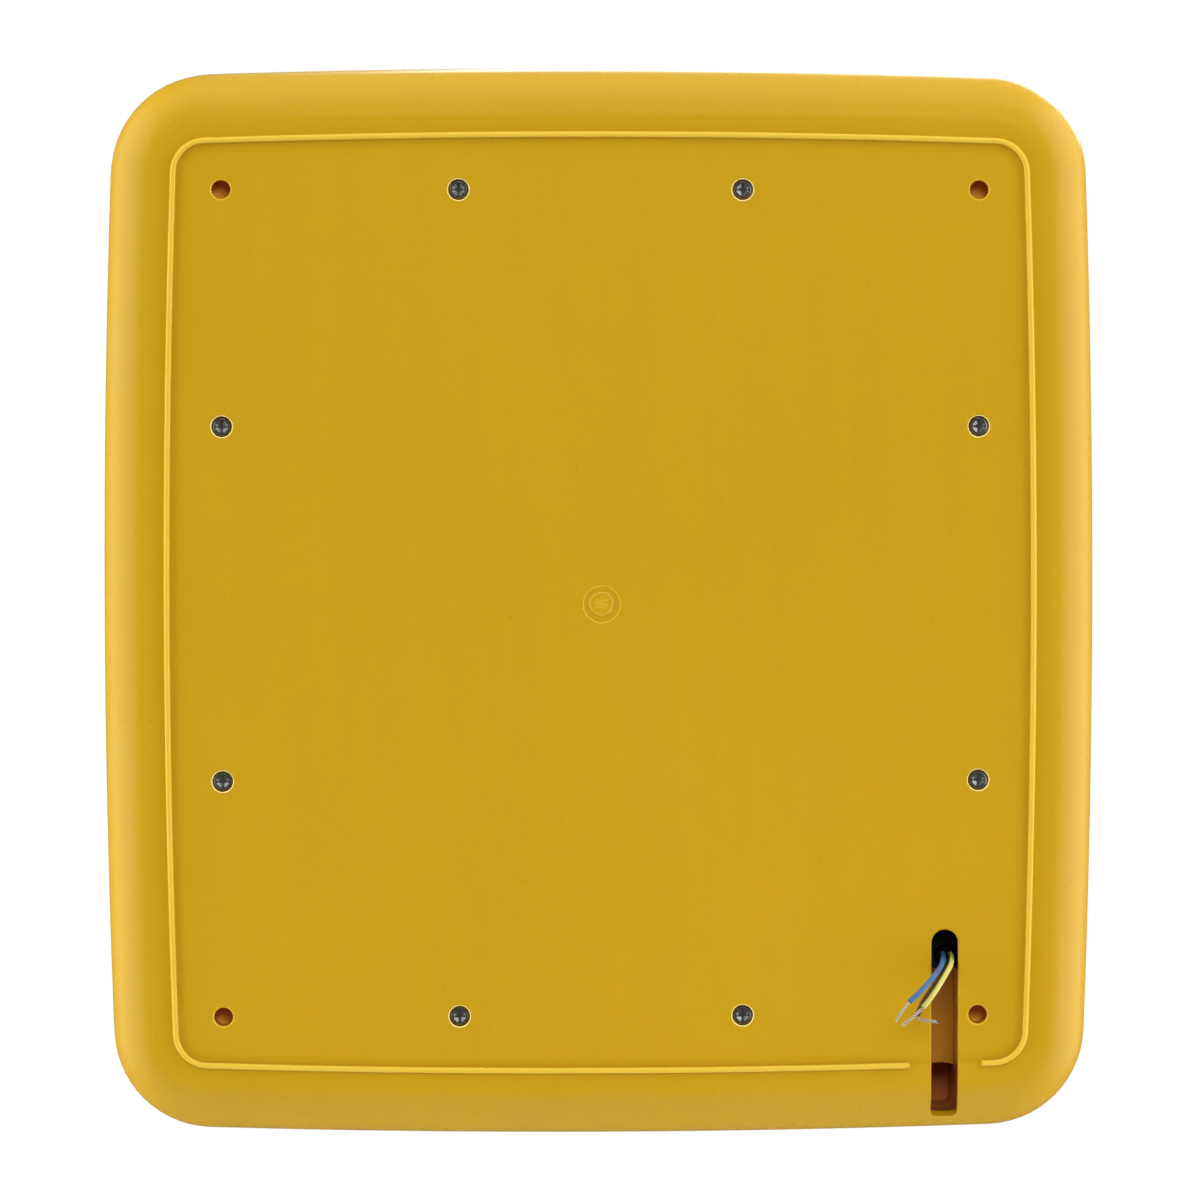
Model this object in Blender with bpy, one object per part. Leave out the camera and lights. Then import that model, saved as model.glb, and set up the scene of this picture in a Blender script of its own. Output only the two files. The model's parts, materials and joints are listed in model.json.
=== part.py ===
"""Pedestrian traffic light for a wall: a yellow two-part housing, a hinged lens door with a sun visor,
and the LED gear inside. Metres, +Z up. The lenses face -Y and the flat back lies on the plane Y = 0,
with the origin at the middle of that back. A depth is a distance forward (towards -Y) from the back."""

from math import atan2, cos, pi, radians, sin, sqrt

import bmesh
import bpy
from mathutils import Matrix, Vector
from mathutils.geometry import interpolate_bezier

# ---------------------------------------------------------------- driving dimensions
HALF_W, HALF_H = 0.1887, 0.2030  # housing outline at its widest
CORNER_R = 0.0400
BOW_R = 4.5  # the four sides bow out very slightly
WALL = 0.0032
GAP = 0.0003  # left between pieces that touch
OVER = 0.0010  # how far a Boolean tool reaches past the face it starts from
SIDE_STEPS, CORNER_STEPS = 2, 5  # outline facets in half a side and in one corner
ROUND_SIDES, SMALL_SIDES, FINE_SIDES = 12, 8, 16  # sides of the cylinders

EDGE_R = 0.0192  # round edge between the back and the sides
DRAFT = 0.0026  # the sides widen this much from the round edge to the rim
REAR_RIM = 0.055
RIB_SHAPE, RIB_W, RIB_H = (0.16195, 0.17495, 0.0120), 0.0020, 0.0015
RIB_GAP = 0.0140  # half the break in the rib at the cable slot

FRAME_SHAPE = (HALF_W - 0.0006, HALF_H - 0.0006, CORNER_R - 0.0006)
FRAME_BACK, FRAME_SHOULDER, FLANGE_BACK, FLANGE_FRONT = 0.0570, 0.0710, 0.0735, 0.0775
FRAME_EDGE = ((0.0012, 0.0750), (0.0045, FLANGE_FRONT))  # (inset, depth) from the shoulder to the flat front
FLANGE_INSET = 0.0046  # inner side wall where it meets the flange
TONGUE_BACK, TONGUE_OUT, TONGUE_IN = 0.0500, 0.0042, 0.0064
OPENING = (0.130, 0.1425, 0.008)  # half width, half height, corner radius
GASKET_OUT, GASKET_IN = 0.0009, 0.0029

DOOR_INSET, DOOR_WALL, DOOR_EDGE_R = 0.012, 0.0032, 0.0060
DOOR_BACK, DOOR_FRONT = 0.0795, 0.1022
WINDOW_OUTER = (0.1400, 0.1525, 0.0200)
WINDOW_INNER = (0.1350, 0.1475, 0.0150)
SEAT = (0.1456, 0.1581, 0.0125)  # pocket that takes the lens
SEAT_WALL = (0.1490, 0.1615, 0.0155)
SEAT_BACK, SEAT_FLOOR, DOOR_HOLLOW = 0.0805, 0.0950, 0.0988
DOOR_GASKET_OUT, DOOR_GASKET_IN = 0.0128, 0.0146

HOLE_X, HOLE_Z = 0.1413, 0.1544  # the four blind fixing holes
MOUNT_HOLE_R, MOUNT_HOLE_END, MOUNT_BOSS_R, MOUNT_BOSS_END = 0.0035, 0.0100, 0.0070, 0.0135
SCREW_X, SCREW_Z = 0.0530, 0.0662  # the eight housing screws lie on the same lines
BOSS_R, BOSS_END = 0.0058, 0.0138
HEAD_SINK, HEAD_BORE_R, SHANK_HOLE_R = 0.0030, 0.0038, 0.0022
PILLAR_R, PILOT_END = 0.0056, 0.034

SLOT_X, SLOT_R = -0.1289, 0.00505  # cable slot in the back, above the lower edge
SLOT_TOP, SLOT_FOOT, SLOT_FOOT_R = -0.1224, -0.1919, 0.0025
DUCT_FLOOR, DUCT_STEP_Z, DUCT_DEEP_FLOOR, DUCT_WALL = 0.0225, -0.1750, 0.0425, 0.0030
GROMMET_X, GROMMET_Z, GROMMET_R, GROMMET_FACE = -0.1287, -0.1287, 0.0099, 0.0125
CABLE_X, CABLE_Z, CABLE_R, CABLE_FACE = -0.1302, -0.1335, 0.0036, 0.0110
NECK_R, NECK_END, NUT_R, NUT_BACK = 0.0056, 0.0320, 0.0095, 0.0260

HINGE_X, HINGE_DEPTH, HINGE_Z = 0.1827, 0.0828, 0.100
KNUCKLE_R, PIN_R, PIN_HOLE_R = 0.0044, 0.0019, 0.0023
LUG_HALF, KNUCKLE_END, PIN_END = 0.0070, 0.0170, 0.0190
LUG_BACK, LUG_IN, LUG_OUT, ARM_BACK = 0.0765, 0.0028, 0.0020, 0.0806
PIN_CAP_R, PIN_CAP_END = 0.0035, 0.0198

LATCH_X, LATCH_Z = -0.1606, 0.0875
LATCH_SHAFT_R, LATCH_HOLE_R, LATCH_BOSS_R = 0.0037, 0.0042, 0.0070
CAM_HALF_L, CAM_HALF_W, CAM_BACK, CAM_FRONT = 0.0094, 0.0035, 0.0702, 0.0732
KNOB_R, KNOB_FRONT = 0.0072, 0.1062
KNOB_SLOT_HALF_W, KNOB_SLOT_DEEP, KNOB_SLOT_HALF_L = 0.0009, 0.0020, 0.0085
CAM_SLOT_X, CAM_SLOT_Z = 0.0008, 0.0010  # clearance of the cam in the front frame

POST_X, POST_Z, POST_PILOT = 0.100, 0.1381, 0.032
TRAY = (0.1290, 0.1455, 0.0100)
TRAY_BACK, TRAY_FRONT = 0.0456, 0.0475
BOARD_X, BOARD_HALF_W, BOARD_HALF_H = 0.0645, 0.0575, 0.1250
BOARD_BACK, BOARD_FRONT = 0.0478, 0.0494
BOX_BACK, BOX_FRONT, BOX_WALL = 0.0497, 0.0800, 0.0018
BOX_REAR, BOX_MOUTH = (0.0570, 0.1240, 0.006), (0.0625, 0.1290, 0.010)
CHIP_HALF, CHIP_RISE, CHIP_PITCH_X, CHIP_PITCH_Z = 0.0025, 0.0012, 0.032, 0.044

LENS_BACK, LENS_FRONT = 0.0912, 0.0947
MASK_BACK, MASK_FRONT = 0.0895, 0.0909
DIFFUSER_BACK, DIFFUSER_FRONT = 0.0861, 0.0892
DIFFUSER = (0.0635, 0.1400, 0.008)
RETAINER_BACK, RETAINER_FRONT = 0.0828, 0.0858
RETAINER_WINDOW = (0.0585, 0.1300, 0.006)
RETAINER_X, RETAINER_Z, RETAINER_END = 0.1398, 0.075, 0.0985
SMALL_HOLE_R = 0.0019  # pilot or clearance hole of the 3 mm screws

VISOR_BACK, VISOR_FLANGE, VISOR_REACH = 0.1025, 0.1052, 0.1900
VISOR_OUTER = (0.1450, 0.1575, 0.0210)
VISOR_INNER = (0.1422, 0.1547, 0.0182)
VISOR_FLANGE_SHAPE = (0.1505, 0.1770, 0.0240)
VISOR_SCREW_X, VISOR_SCREW_Z, VISOR_BOSS_R, VISOR_BOSS_END = 0.100, 0.1680, 0.0045, 0.0880
VISOR_LAP = 0.0012  # the flange's opening is this much larger than the hood's inside
VISOR_CUT = ((0.110, -0.147), (0.194, 0.058))  # side edge of the hood, as depth and height

DRIVER_HALF_L, DRIVER_HALF_H, DRIVER_CORNER_R, DRIVER_BACK = 0.075, 0.025, 0.003, 0.0205
EAR_REACH, EAR_BACK, EAR_HALF_H, EAR_SCREW = 0.0110, 0.0420, 0.0090, 0.0805
LEAD_X, LEAD_R, LEAD_HOLE_R, LEAD_DEPTH = 0.1000, 0.0014, 0.0030, 0.0330
TERMINAL_X, TERMINAL_Z, TERMINAL_HALF_X, TERMINAL_HALF_Z = -0.0900, -0.0875, 0.0165, 0.0125
TERMINAL_BACK, TERMINAL_DEPTH = 0.0290, 0.0370
WELL_PITCH, WELL_Z, WELL_R, WELL_DEEP = 0.0105, 0.0060, 0.0022, 0.0040

WIRE_R, STRAND_R, DRIVER_LEAD_R = 0.00105, 0.0005, 0.0020
# Head radius, head height and shank radius of each screw, then the lengths of the small ones.
HOUSING_SCREW, HOUSING_SCREW_L = (0.0035, 0.0023, 0.00175), 0.0250
SMALL_SCREW, TRAY_SCREW_L, EAR_SCREW_L, RETAINER_SCREW_L = (0.0029, 0.0020, 0.0015), 0.0120, 0.0055, 0.0155

# Half of the standing figure's outline and the whole of the walking figure's, both about the window's centre.
STANDING = (
    (0.021, 0.060), (0.028, 0.052), (0.028, -0.008), (0.019, -0.008), (0.019, 0.032),
    (0.0155, 0.032), (0.0155, -0.105), (0.003, -0.105), (0.003, -0.022),
)
WALKING = (
    (-0.002, 0.063), (0.012, 0.060), (0.020, 0.044), (0.038, 0.010), (0.030, 0.004),
    (0.013, 0.026), (0.013, -0.016), (0.022, -0.058), (0.044, -0.098), (0.034, -0.106),
    (0.011, -0.064), (0.000, -0.038), (-0.013, -0.066), (-0.014, -0.106), (-0.034, -0.106),
    (-0.034, -0.098), (-0.024, -0.095), (-0.024, -0.062), (-0.012, -0.014), (-0.012, 0.024),
    (-0.032, 0.000), (-0.040, 0.005), (-0.020, 0.042), (-0.013, 0.060),
)
HEAD_Z, HEAD_R, WALKER_HEAD_X = 0.0840, 0.0165, -0.0040

# Route of each conductor, from the end of the cable's jacket to the end of its insulation.
WIRES = {
    "blue": [
        (-0.12895, -0.01070, -0.13260),
        (-0.12863, -0.00500, -0.13325),
        (-0.12765, 0.00250, -0.13498),
        (-0.12516, 0.00938, -0.13749),
        (-0.12158, 0.01475, -0.14076),
        (-0.11767, 0.01825, -0.14421),
        (-0.11403, 0.02025, -0.14720),
    ],
    "brown": [
        (-0.12990, -0.01070, -0.13510),
        (-0.12950, -0.00525, -0.13600),
        (-0.12859, 0.00175, -0.13781),
        (-0.12607, 0.00750, -0.14043),
        (-0.12277, 0.01100, -0.14415),
        (-0.11966, 0.01250, -0.14846),
        (-0.11742, 0.01250, -0.15330),
    ],
    "earth": [
        (-0.13175, -0.01070, -0.13280),
        (-0.13180, -0.00500, -0.13363),
        (-0.13065, 0.00250, -0.13573),
        (-0.12806, 0.00900, -0.13877),
        (-0.12504, 0.01350, -0.14263),
        (-0.12206, 0.01625, -0.14641),
        (-0.11922, 0.01750, -0.14974),
    ],
}
# Route of each bare end, from just past the insulation.
STRANDS = {
    "blue": [
        (-0.11377, 0.02040, -0.14743),
        (-0.11138, 0.02100, -0.15033),
        (-0.10864, 0.02125, -0.15464),
    ],
    "brown": [
        (-0.11735, 0.01252, -0.15372),
        (-0.11865, 0.01263, -0.15477),
        (-0.12163, 0.01275, -0.15526),
        (-0.12547, 0.01288, -0.15574),
    ],
    "earth": [
        (-0.11897, 0.01760, -0.15003),
        (-0.11557, 0.01825, -0.15301),
        (-0.11158, 0.01863, -0.15630),
    ],
}
SUPPLY_CABLE = [
    (CABLE_X, -CABLE_FACE, CABLE_Z),
    (CABLE_X, -0.0220, CABLE_Z),
    (CABLE_X, -0.0328, CABLE_Z),
    (-0.1275, -0.0388, -0.1305),
    (-0.1205, -0.0408, -0.1232),
    (-0.1100, -0.0400, -0.1135),
    (-0.0985, -0.0382, -0.1130),
    (TERMINAL_X, -TERMINAL_DEPTH, -0.1090),
    (TERMINAL_X, -TERMINAL_DEPTH, -0.1040),
    (TERMINAL_X, -TERMINAL_DEPTH, TERMINAL_Z - TERMINAL_HALF_Z - 2 * GAP),
]
DRIVER_LEAD = [
    (TERMINAL_X, -TERMINAL_DEPTH, TERMINAL_Z + TERMINAL_HALF_Z + GAP),
    (TERMINAL_X, -TERMINAL_DEPTH, -0.0680),
    (-0.0850, -0.0355, -0.0570),
    (-0.0680, -0.0335, -0.0470),
    (-0.0590, -0.0330, -0.0370),
    (-0.0580, -0.0330, -0.0310),
    (-0.0580, -0.0330, -DRIVER_HALF_H - 2 * GAP),
]
# Route of an LED lead on the +X side, mirrored for the other board.
LED_LEAD = [
    (DRIVER_HALF_L + GAP, -LEAD_DEPTH, 0.0170),
    (0.0850, -LEAD_DEPTH, 0.0170),
    (0.0960, -0.0355, 0.0170),
    (LEAD_X, -0.0410, 0.0170),
    (LEAD_X, -BOARD_BACK + GAP, 0.0170),
]

# Base colour, roughness and metallic value of each finish.
FINISHES = {
    "yellow_plastic": ((0.60, 0.34, 0.012), 0.25, 0.0),
    "black_rubber": ((0.012, 0.012, 0.014), 0.75, 0.0),
    "black_plastic": ((0.018, 0.018, 0.020), 0.45, 0.0),
    "clear_lens": ((0.55, 0.58, 0.60), 0.06, 0.0),
    "red_lens": ((0.55, 0.02, 0.015), 0.35, 0.0),
    "green_lens": ((0.02, 0.42, 0.16), 0.35, 0.0),
    "white_plastic": ((0.80, 0.80, 0.78), 0.40, 0.0),
    "steel": ((0.45, 0.45, 0.46), 0.35, 1.0),
    "grey_plastic": ((0.25, 0.26, 0.27), 0.50, 0.0),
    "blue_pvc": ((0.04, 0.13, 0.42), 0.40, 0.0),
    "brown_pvc": ((0.10, 0.035, 0.015), 0.40, 0.0),
    "earth_pvc": ((0.62, 0.56, 0.08), 0.40, 0.0),
    "tinned_copper": ((0.70, 0.56, 0.45), 0.30, 1.0),
}

SIGNS = (-1, 1)
HINGE_SPOTS = (HINGE_Z, -HINGE_Z)
LATCH_SPOTS = [(LATCH_X, LATCH_Z), (LATCH_X, -LATCH_Z)]
SCREW_SPOTS = [
    (sx * x, sz * z) for x, z in ((SCREW_X, HOLE_Z), (HOLE_X, SCREW_Z)) for sx in SIGNS for sz in SIGNS
]
MOUNT_SPOTS = [(sx * HOLE_X, sz * HOLE_Z) for sx in SIGNS for sz in SIGNS]
POST_SPOTS = [(sx * POST_X, sz * POST_Z) for sx in SIGNS for sz in SIGNS]
EAR_SPOTS = [(sx * EAR_SCREW, 0.0) for sx in SIGNS]
RETAINER_SPOTS = [(sx * RETAINER_X, sz * RETAINER_Z) for sx in SIGNS for sz in SIGNS]
VISOR_SPOTS = [(sx * VISOR_SCREW_X, sz * VISOR_SCREW_Z) for sx in SIGNS for sz in SIGNS]


# ---------------------------------------------------------------- outlines
def outline(half_w, half_h, corner_r, inset=0.0, bow_r=BOW_R):
    """Points (x, z) of a rectangle with bowed sides and round corners, anticlockwise from +X."""
    side_centre = Vector((half_w - bow_r, 0.0))
    top_centre = Vector((0.0, half_h - bow_r))
    half_gap = (top_centre - side_centre) / 2
    along = sqrt((bow_r - corner_r) ** 2 - half_gap.length_squared)
    outwards = Vector((-half_gap.y, half_gap.x)).normalized()
    if outwards.x < 0:
        outwards.negate()
    corner = (side_centre + top_centre) / 2 + outwards * along
    side_end = atan2(corner.y, corner.x - side_centre.x)
    top_start = atan2(corner.y - top_centre.y, corner.x)
    spans = (
        (side_centre, bow_r, 0.0, side_end, SIDE_STEPS),
        (corner, corner_r, side_end, top_start, CORNER_STEPS),
        (top_centre, bow_r, top_start, pi / 2, SIDE_STEPS),
    )
    quarter = []
    for centre, radius, start, end, steps in spans:
        for i in range(steps):
            a = start + (end - start) * i / steps
            quarter.append(centre + (radius - inset) * Vector((cos(a), sin(a))))
    quarter.append(Vector((0.0, half_h - inset)))
    mirrored = [Vector((-p.x, p.y)) for p in reversed(quarter)]
    upper = quarter + mirrored[1:-1]
    return upper + [-p for p in upper]


def body(inset=0.0):
    """The housing's outline, moved inwards."""
    return outline(HALF_W, HALF_H, CORNER_R, inset)


def rounded(half_w, half_h, corner_r, x=0.0, z=0.0):
    """Points (x, z) of a rectangle with round corners about a centre."""
    points = []
    for quarter, (sx, sz) in enumerate(((1, 1), (-1, 1), (-1, -1), (1, -1))):
        centre = Vector((x + sx * (half_w - corner_r), z + sz * (half_h - corner_r)))
        steps = CORNER_STEPS // 2
        for i in range(steps + 1):
            a = pi / 2 * (quarter + i / steps)
            points.append(centre + corner_r * Vector((cos(a), sin(a))))
    return points


def shrunk(shape, by=GAP):
    """An outline's sizes, made smaller all round."""
    half_w, half_h, corner_r = shape
    return half_w - by, half_h - by, corner_r - by


def round_edge(radius, inset, depth, steps):
    """(inset, depth) along a quarter round that turns the flat back into a side wall."""
    angles = [pi / 2 * i / steps for i in range(steps + 1)]
    return [(inset - radius * sin(a), depth + radius * (1 - cos(a))) for a in angles]


def round_nose(radius, inset, front, steps):
    """(inset, depth) along a quarter round that turns a side wall into a flat front."""
    angles = [pi / 2 * i / steps for i in range(steps + 1)]
    return [(inset + radius * (1 - cos(a)), front - radius * (1 - sin(a))) for a in angles]


# ---------------------------------------------------------------- mesh tools
def skin(bm, stations, loop=False):
    """Joins outlines of equal length, given as (points, depth). The ends are capped unless it is a loop."""
    rings = [[bm.verts.new((p.x, -depth, p.y)) for p in points] for points, depth in stations]
    pairs = list(zip(rings, rings[1:])) + ([(rings[-1], rings[0])] if loop else [])
    for near, far in pairs:
        for i in range(len(near)):
            j = (i + 1) % len(near)
            bm.faces.new((near[i], near[j], far[j], far[i]))
    if not loop:
        bm.faces.new(rings[0])
        bm.faces.new(rings[-1])
    bmesh.ops.recalc_face_normals(bm, faces=bm.faces)


def plate(bm, points, near, far):
    skin(bm, [(points, near), (points, far)])


def rod(bm, x, z, near, far, radius, sides=ROUND_SIDES):
    """A cylinder along Y between two depths."""
    placed = Matrix.Translation((x, -(near + far) / 2, z)) @ Matrix.Rotation(pi / 2, 4, "X")
    bmesh.ops.create_cone(
        bm, cap_ends=True, segments=sides, radius1=radius, radius2=radius, depth=far - near, matrix=placed
    )


def rods(bm, spots, near, far, radius, sides=ROUND_SIDES):
    for x, z in spots:
        rod(bm, x, z, near, far, radius, sides)


def upright(bm, x, depth, low, high, radius, sides=ROUND_SIDES):
    """A cylinder along Z."""
    placed = Matrix.Translation((x, -depth, (low + high) / 2))
    bmesh.ops.create_cone(
        bm, cap_ends=True, segments=sides, radius1=radius, radius2=radius, depth=high - low, matrix=placed
    )


def block(bm, x0, x1, near, far, z0, z1):
    """A box given by its X range, its depth range and its Z range."""
    size = Matrix.Diagonal((x1 - x0, far - near, z1 - z0, 1.0))
    middle = Matrix.Translation(((x0 + x1) / 2, -(near + far) / 2, (z0 + z1) / 2))
    bmesh.ops.create_cube(bm, size=1.0, matrix=middle @ size)


def mesh_of(draw):
    """A mesh holding what a drawing function puts into an empty bmesh."""
    bm = bmesh.new()
    draw(bm)
    mesh = bpy.data.meshes.new("shape")
    bm.to_mesh(mesh)
    bm.free()
    return mesh


def combine(obj, operation, draw):
    """Applies one Boolean. Its tool is drawn in the object's own axes, used and removed again."""
    tool = bpy.data.objects.new("tool", mesh_of(draw))
    tool.location = obj.location
    bpy.context.scene.collection.objects.link(tool)
    modifier = obj.modifiers.new(operation, "BOOLEAN")
    modifier.operation = operation
    modifier.solver = "EXACT"
    modifier.object = tool
    bpy.context.view_layer.update()
    evaluated = obj.evaluated_get(bpy.context.evaluated_depsgraph_get())
    result = bpy.data.meshes.new_from_object(evaluated)
    obj.modifiers.clear()
    obj.data = result
    bpy.data.objects.remove(tool)


def add(obj, draw):
    combine(obj, "UNION", draw)


def cut(obj, draw):
    combine(obj, "DIFFERENCE", draw)


def keep(obj, draw):
    combine(obj, "INTERSECT", draw)


# ---------------------------------------------------------------- objects
def finish_of(name):
    """The named finish as a material, made on first use."""
    material = bpy.data.materials.get(name)
    if material is None:
        colour, roughness, metallic = FINISHES[name]
        material = bpy.data.materials.new(name)
        material.use_nodes = True
        shader = material.node_tree.nodes["Principled BSDF"]
        shader.inputs["Base Color"].default_value = (*colour, 1.0)
        shader.inputs["Roughness"].default_value = roughness
        shader.inputs["Metallic"].default_value = metallic
        material.diffuse_color = (*colour, 1.0)
    return material


def piece(name, finish, draw=None, mesh=None, location=(0, 0, 0), turn=0.0):
    """One named object, drawn here or sharing a mesh that exists already. It may be turned about Z."""
    obj = bpy.data.objects.new(name, mesh or mesh_of(draw))
    obj.location = location
    obj.rotation_euler = (0, 0, turn)
    bpy.context.scene.collection.objects.link(obj)
    if not obj.data.materials:
        obj.data.materials.append(finish_of(finish))
    return obj


def smooth(obj, angle=40):
    obj.data.shade_smooth()
    obj.data.set_sharp_from_angle(angle=radians(angle))
    return obj


def axis_empty(name, location):
    empty = bpy.data.objects.new(name, None)
    empty.location = location
    bpy.context.scene.collection.objects.link(empty)
    return empty


def hang_on(empty, objects):
    """Parents objects to a joint's axis and leaves them where they are."""
    bpy.context.view_layer.update()
    for obj in objects:
        obj.parent = empty
        obj.matrix_parent_inverse = empty.matrix_world.inverted()


def smooth_route(points, steps):
    """Points of a smooth curve through a route's own points."""
    route = [Vector(p) for p in points]
    slopes = [route[1] - route[0]]
    slopes += [(after - before) / 2 for before, after in zip(route, route[2:])]
    slopes.append(route[-1] - route[-2])
    found = [route[0]]
    for i, (start, end) in enumerate(zip(route, route[1:])):
        found += interpolate_bezier(start, start + slopes[i] / 3, end - slopes[i + 1] / 3, end, steps + 1)[1:]
    return found


def tube(name, finish, points, radius, steps=1):
    """A cable or wire: a round section along a smooth route, closed at both ends."""
    curve = bpy.data.curves.new(name, "CURVE")
    curve.dimensions = "3D"
    curve.bevel_depth = radius
    curve.bevel_resolution = 2
    curve.use_fill_caps = True
    curve.render_resolution_u = 0
    spline = curve.splines.new("POLY")
    route = smooth_route(points, steps)
    spline.points.add(len(route) - 1)
    for target, point in zip(spline.points, route):
        target.co = (*point, 1.0)
    curve.materials.append(finish_of(finish))
    obj = bpy.data.objects.new(name, curve)
    bpy.context.scene.collection.objects.link(obj)
    return obj


def screw_mesh(head_r, head_h, shank_r, length, sides=SMALL_SIDES):
    """A pan-head screw whose head is seated on its own origin, with the shank towards -Y."""

    def draw(bm):
        ring = [Vector((cos(2 * pi * i / sides), sin(2 * pi * i / sides))) for i in range(sides)]
        profile = (
            (0.72 * head_r, -head_h),
            (head_r, -0.45 * head_h),
            (head_r, 0.0),
            (shank_r, 0.0),
            (shank_r, length),
        )
        skin(bm, [([p * radius for p in ring], depth) for radius, depth in profile])

    mesh = mesh_of(draw)
    mesh.materials.append(finish_of("steel"))
    mesh.shade_smooth()
    mesh.set_sharp_from_angle(angle=radians(40))
    return mesh


def screws(prefix, mesh, spots, depth, turn=0.0):
    """One screw on each spot, its head seated at a depth. A turn of pi makes it point backwards."""
    return [
        piece(f"{prefix}_{i + 1}", "steel", mesh=mesh, location=(x, -depth, z), turn=turn)
        for i, (x, z) in enumerate(spots)
    ]


# ---------------------------------------------------------------- rear housing and cable entry
def slot_outline(top_z=SLOT_TOP - SLOT_R, corner_r=SLOT_R):
    """Cable slot seen from the back: a half round at the top and a square foot with small round corners."""
    steps = 3
    points = []
    for i in range(2 * steps + 1):
        a = pi * i / (2 * steps)
        points.append(Vector((SLOT_X + SLOT_R * cos(a), top_z + corner_r * sin(a))))
    for side, start in ((-1, pi), (1, 1.5 * pi)):
        centre = Vector((SLOT_X + side * (SLOT_R - SLOT_FOOT_R), SLOT_FOOT + SLOT_FOOT_R))
        for i in range(steps + 1):
            a = start + pi / 2 * i / steps
            points.append(centre + SLOT_FOOT_R * Vector((cos(a), sin(a))))
    return points


def broken_loop(points, x0, x1):
    """An outline opened along its lower side between two x positions, as a path from x1 round to x0."""
    count = len(points)
    crossing = next(
        i for i, p in enumerate(points) if p.y < 0 and p.x <= x0 and points[(i + 1) % count].x >= x1
    )
    a, b = points[crossing], points[(crossing + 1) % count]
    ends = [a.lerp(b, (x - a.x) / (b.x - a.x)) for x in (x1, x0)]
    return [ends[0]] + [points[(crossing + 1 + i) % count] for i in range(count)] + [ends[1]]


def rib_bar(bm):
    """The bead round the back, broken at the cable slot, its base sunk in the panel."""
    x0, x1 = SLOT_X - RIB_GAP, SLOT_X + RIB_GAP
    sides = [(-RIB_W / 2, OVER), (-RIB_W / 2, -RIB_H), (RIB_W / 2, -RIB_H), (RIB_W / 2, OVER)]
    lines = [(broken_loop(outline(*RIB_SHAPE, inset), x0, x1), depth) for inset, depth in sides]
    rows = [[bm.verts.new((p.x, -depth, p.y)) for p in path] for path, depth in lines]
    for near, far in zip(rows, rows[1:] + rows[:1]):
        for i in range(len(near) - 1):
            bm.faces.new((near[i], near[i + 1], far[i + 1], far[i]))
    bm.faces.new([row[0] for row in rows])
    bm.faces.new([row[-1] for row in rows])
    bmesh.ops.recalc_face_normals(bm, faces=bm.faces)


def duct_solid():
    """The box of material that the cable slot is sunk into, kept inside the housing's outer surface."""
    x0, x1 = SLOT_X - SLOT_R - DUCT_WALL, SLOT_X + SLOT_R + DUCT_WALL
    low, top, step = SLOT_FOOT - DUCT_WALL, SLOT_TOP + DUCT_WALL, DUCT_STEP_Z + DUCT_WALL
    shallow, deep = DUCT_FLOOR + DUCT_WALL, DUCT_DEEP_FLOOR + DUCT_WALL
    pocket_r = GROMMET_R + DUCT_WALL
    duct = piece("duct", "yellow_plastic", lambda bm: block(bm, x0, x1, OVER, shallow, low, top))
    add(duct, lambda bm: rod(bm, GROMMET_X, GROMMET_Z, WALL / 2, shallow, pocket_r, FINE_SIDES))
    add(duct, lambda bm: block(bm, x0, x1, DUCT_FLOOR / 2, deep, low, step))
    edge = round_edge(EDGE_R, EDGE_R + DRAFT, 0.0, 8)
    core = [(body(inset + OVER), depth + OVER) for inset, depth in edge]
    keep(duct, lambda bm: skin(bm, core + [(body(OVER), REAR_RIM)]))
    mesh = duct.data
    bpy.data.objects.remove(duct)
    return mesh


def rear_housing():
    flat = EDGE_R + DRAFT
    outside = round_edge(EDGE_R, flat, 0.0, 5) + [(0.0, REAR_RIM)]
    inside = [(WALL, REAR_RIM)] + round_edge(EDGE_R - WALL, flat, WALL, 3)[::-1]
    shell = [(body(inset), depth) for inset, depth in outside + inside]
    housing = piece("rear_housing", "yellow_plastic", lambda bm: skin(bm, shell))

    def bosses(bm):
        rods(bm, SCREW_SPOTS, 2 * OVER, BOSS_END, BOSS_R)
        rods(bm, POST_SPOTS, 2 * OVER, TRAY_BACK - GAP, BOSS_R)
        rods(bm, MOUNT_SPOTS, 2 * OVER, MOUNT_BOSS_END, MOUNT_BOSS_R, FINE_SIDES)

    def holes(bm):
        shallow = DUCT_FLOOR + DUCT_WALL
        rods(bm, SCREW_SPOTS, HEAD_SINK / 2, BOSS_END + OVER, SHANK_HOLE_R, SMALL_SIDES)
        rods(bm, MOUNT_SPOTS, -OVER, MOUNT_HOLE_END, MOUNT_HOLE_R, FINE_SIDES)
        rods(bm, POST_SPOTS, POST_PILOT, TRAY_BACK + OVER, SMALL_HOLE_R, SMALL_SIDES)
        rod(bm, CABLE_X, CABLE_Z, DUCT_FLOOR - OVER, shallow + OVER, NECK_R + 2 * GAP, FINE_SIDES)

    add(housing, rib_bar)
    add(housing, bosses)
    duct = duct_solid()
    add(housing, lambda bm: bm.from_mesh(duct))
    cut(housing, lambda bm: rods(bm, SCREW_SPOTS, -OVER, HEAD_SINK, HEAD_BORE_R, FINE_SIDES))
    cut(housing, lambda bm: plate(bm, slot_outline(), -2 * OVER, DUCT_FLOOR))
    cut(housing, lambda bm: rod(bm, GROMMET_X, GROMMET_Z, WALL, DUCT_FLOOR, GROMMET_R + 3 * GAP, FINE_SIDES))
    deep_part = slot_outline(DUCT_STEP_Z - OVER, OVER)
    cut(housing, lambda bm: plate(bm, deep_part, DUCT_FLOOR - OVER, DUCT_DEEP_FLOOR))
    cut(housing, holes)
    return smooth(housing)


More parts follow.
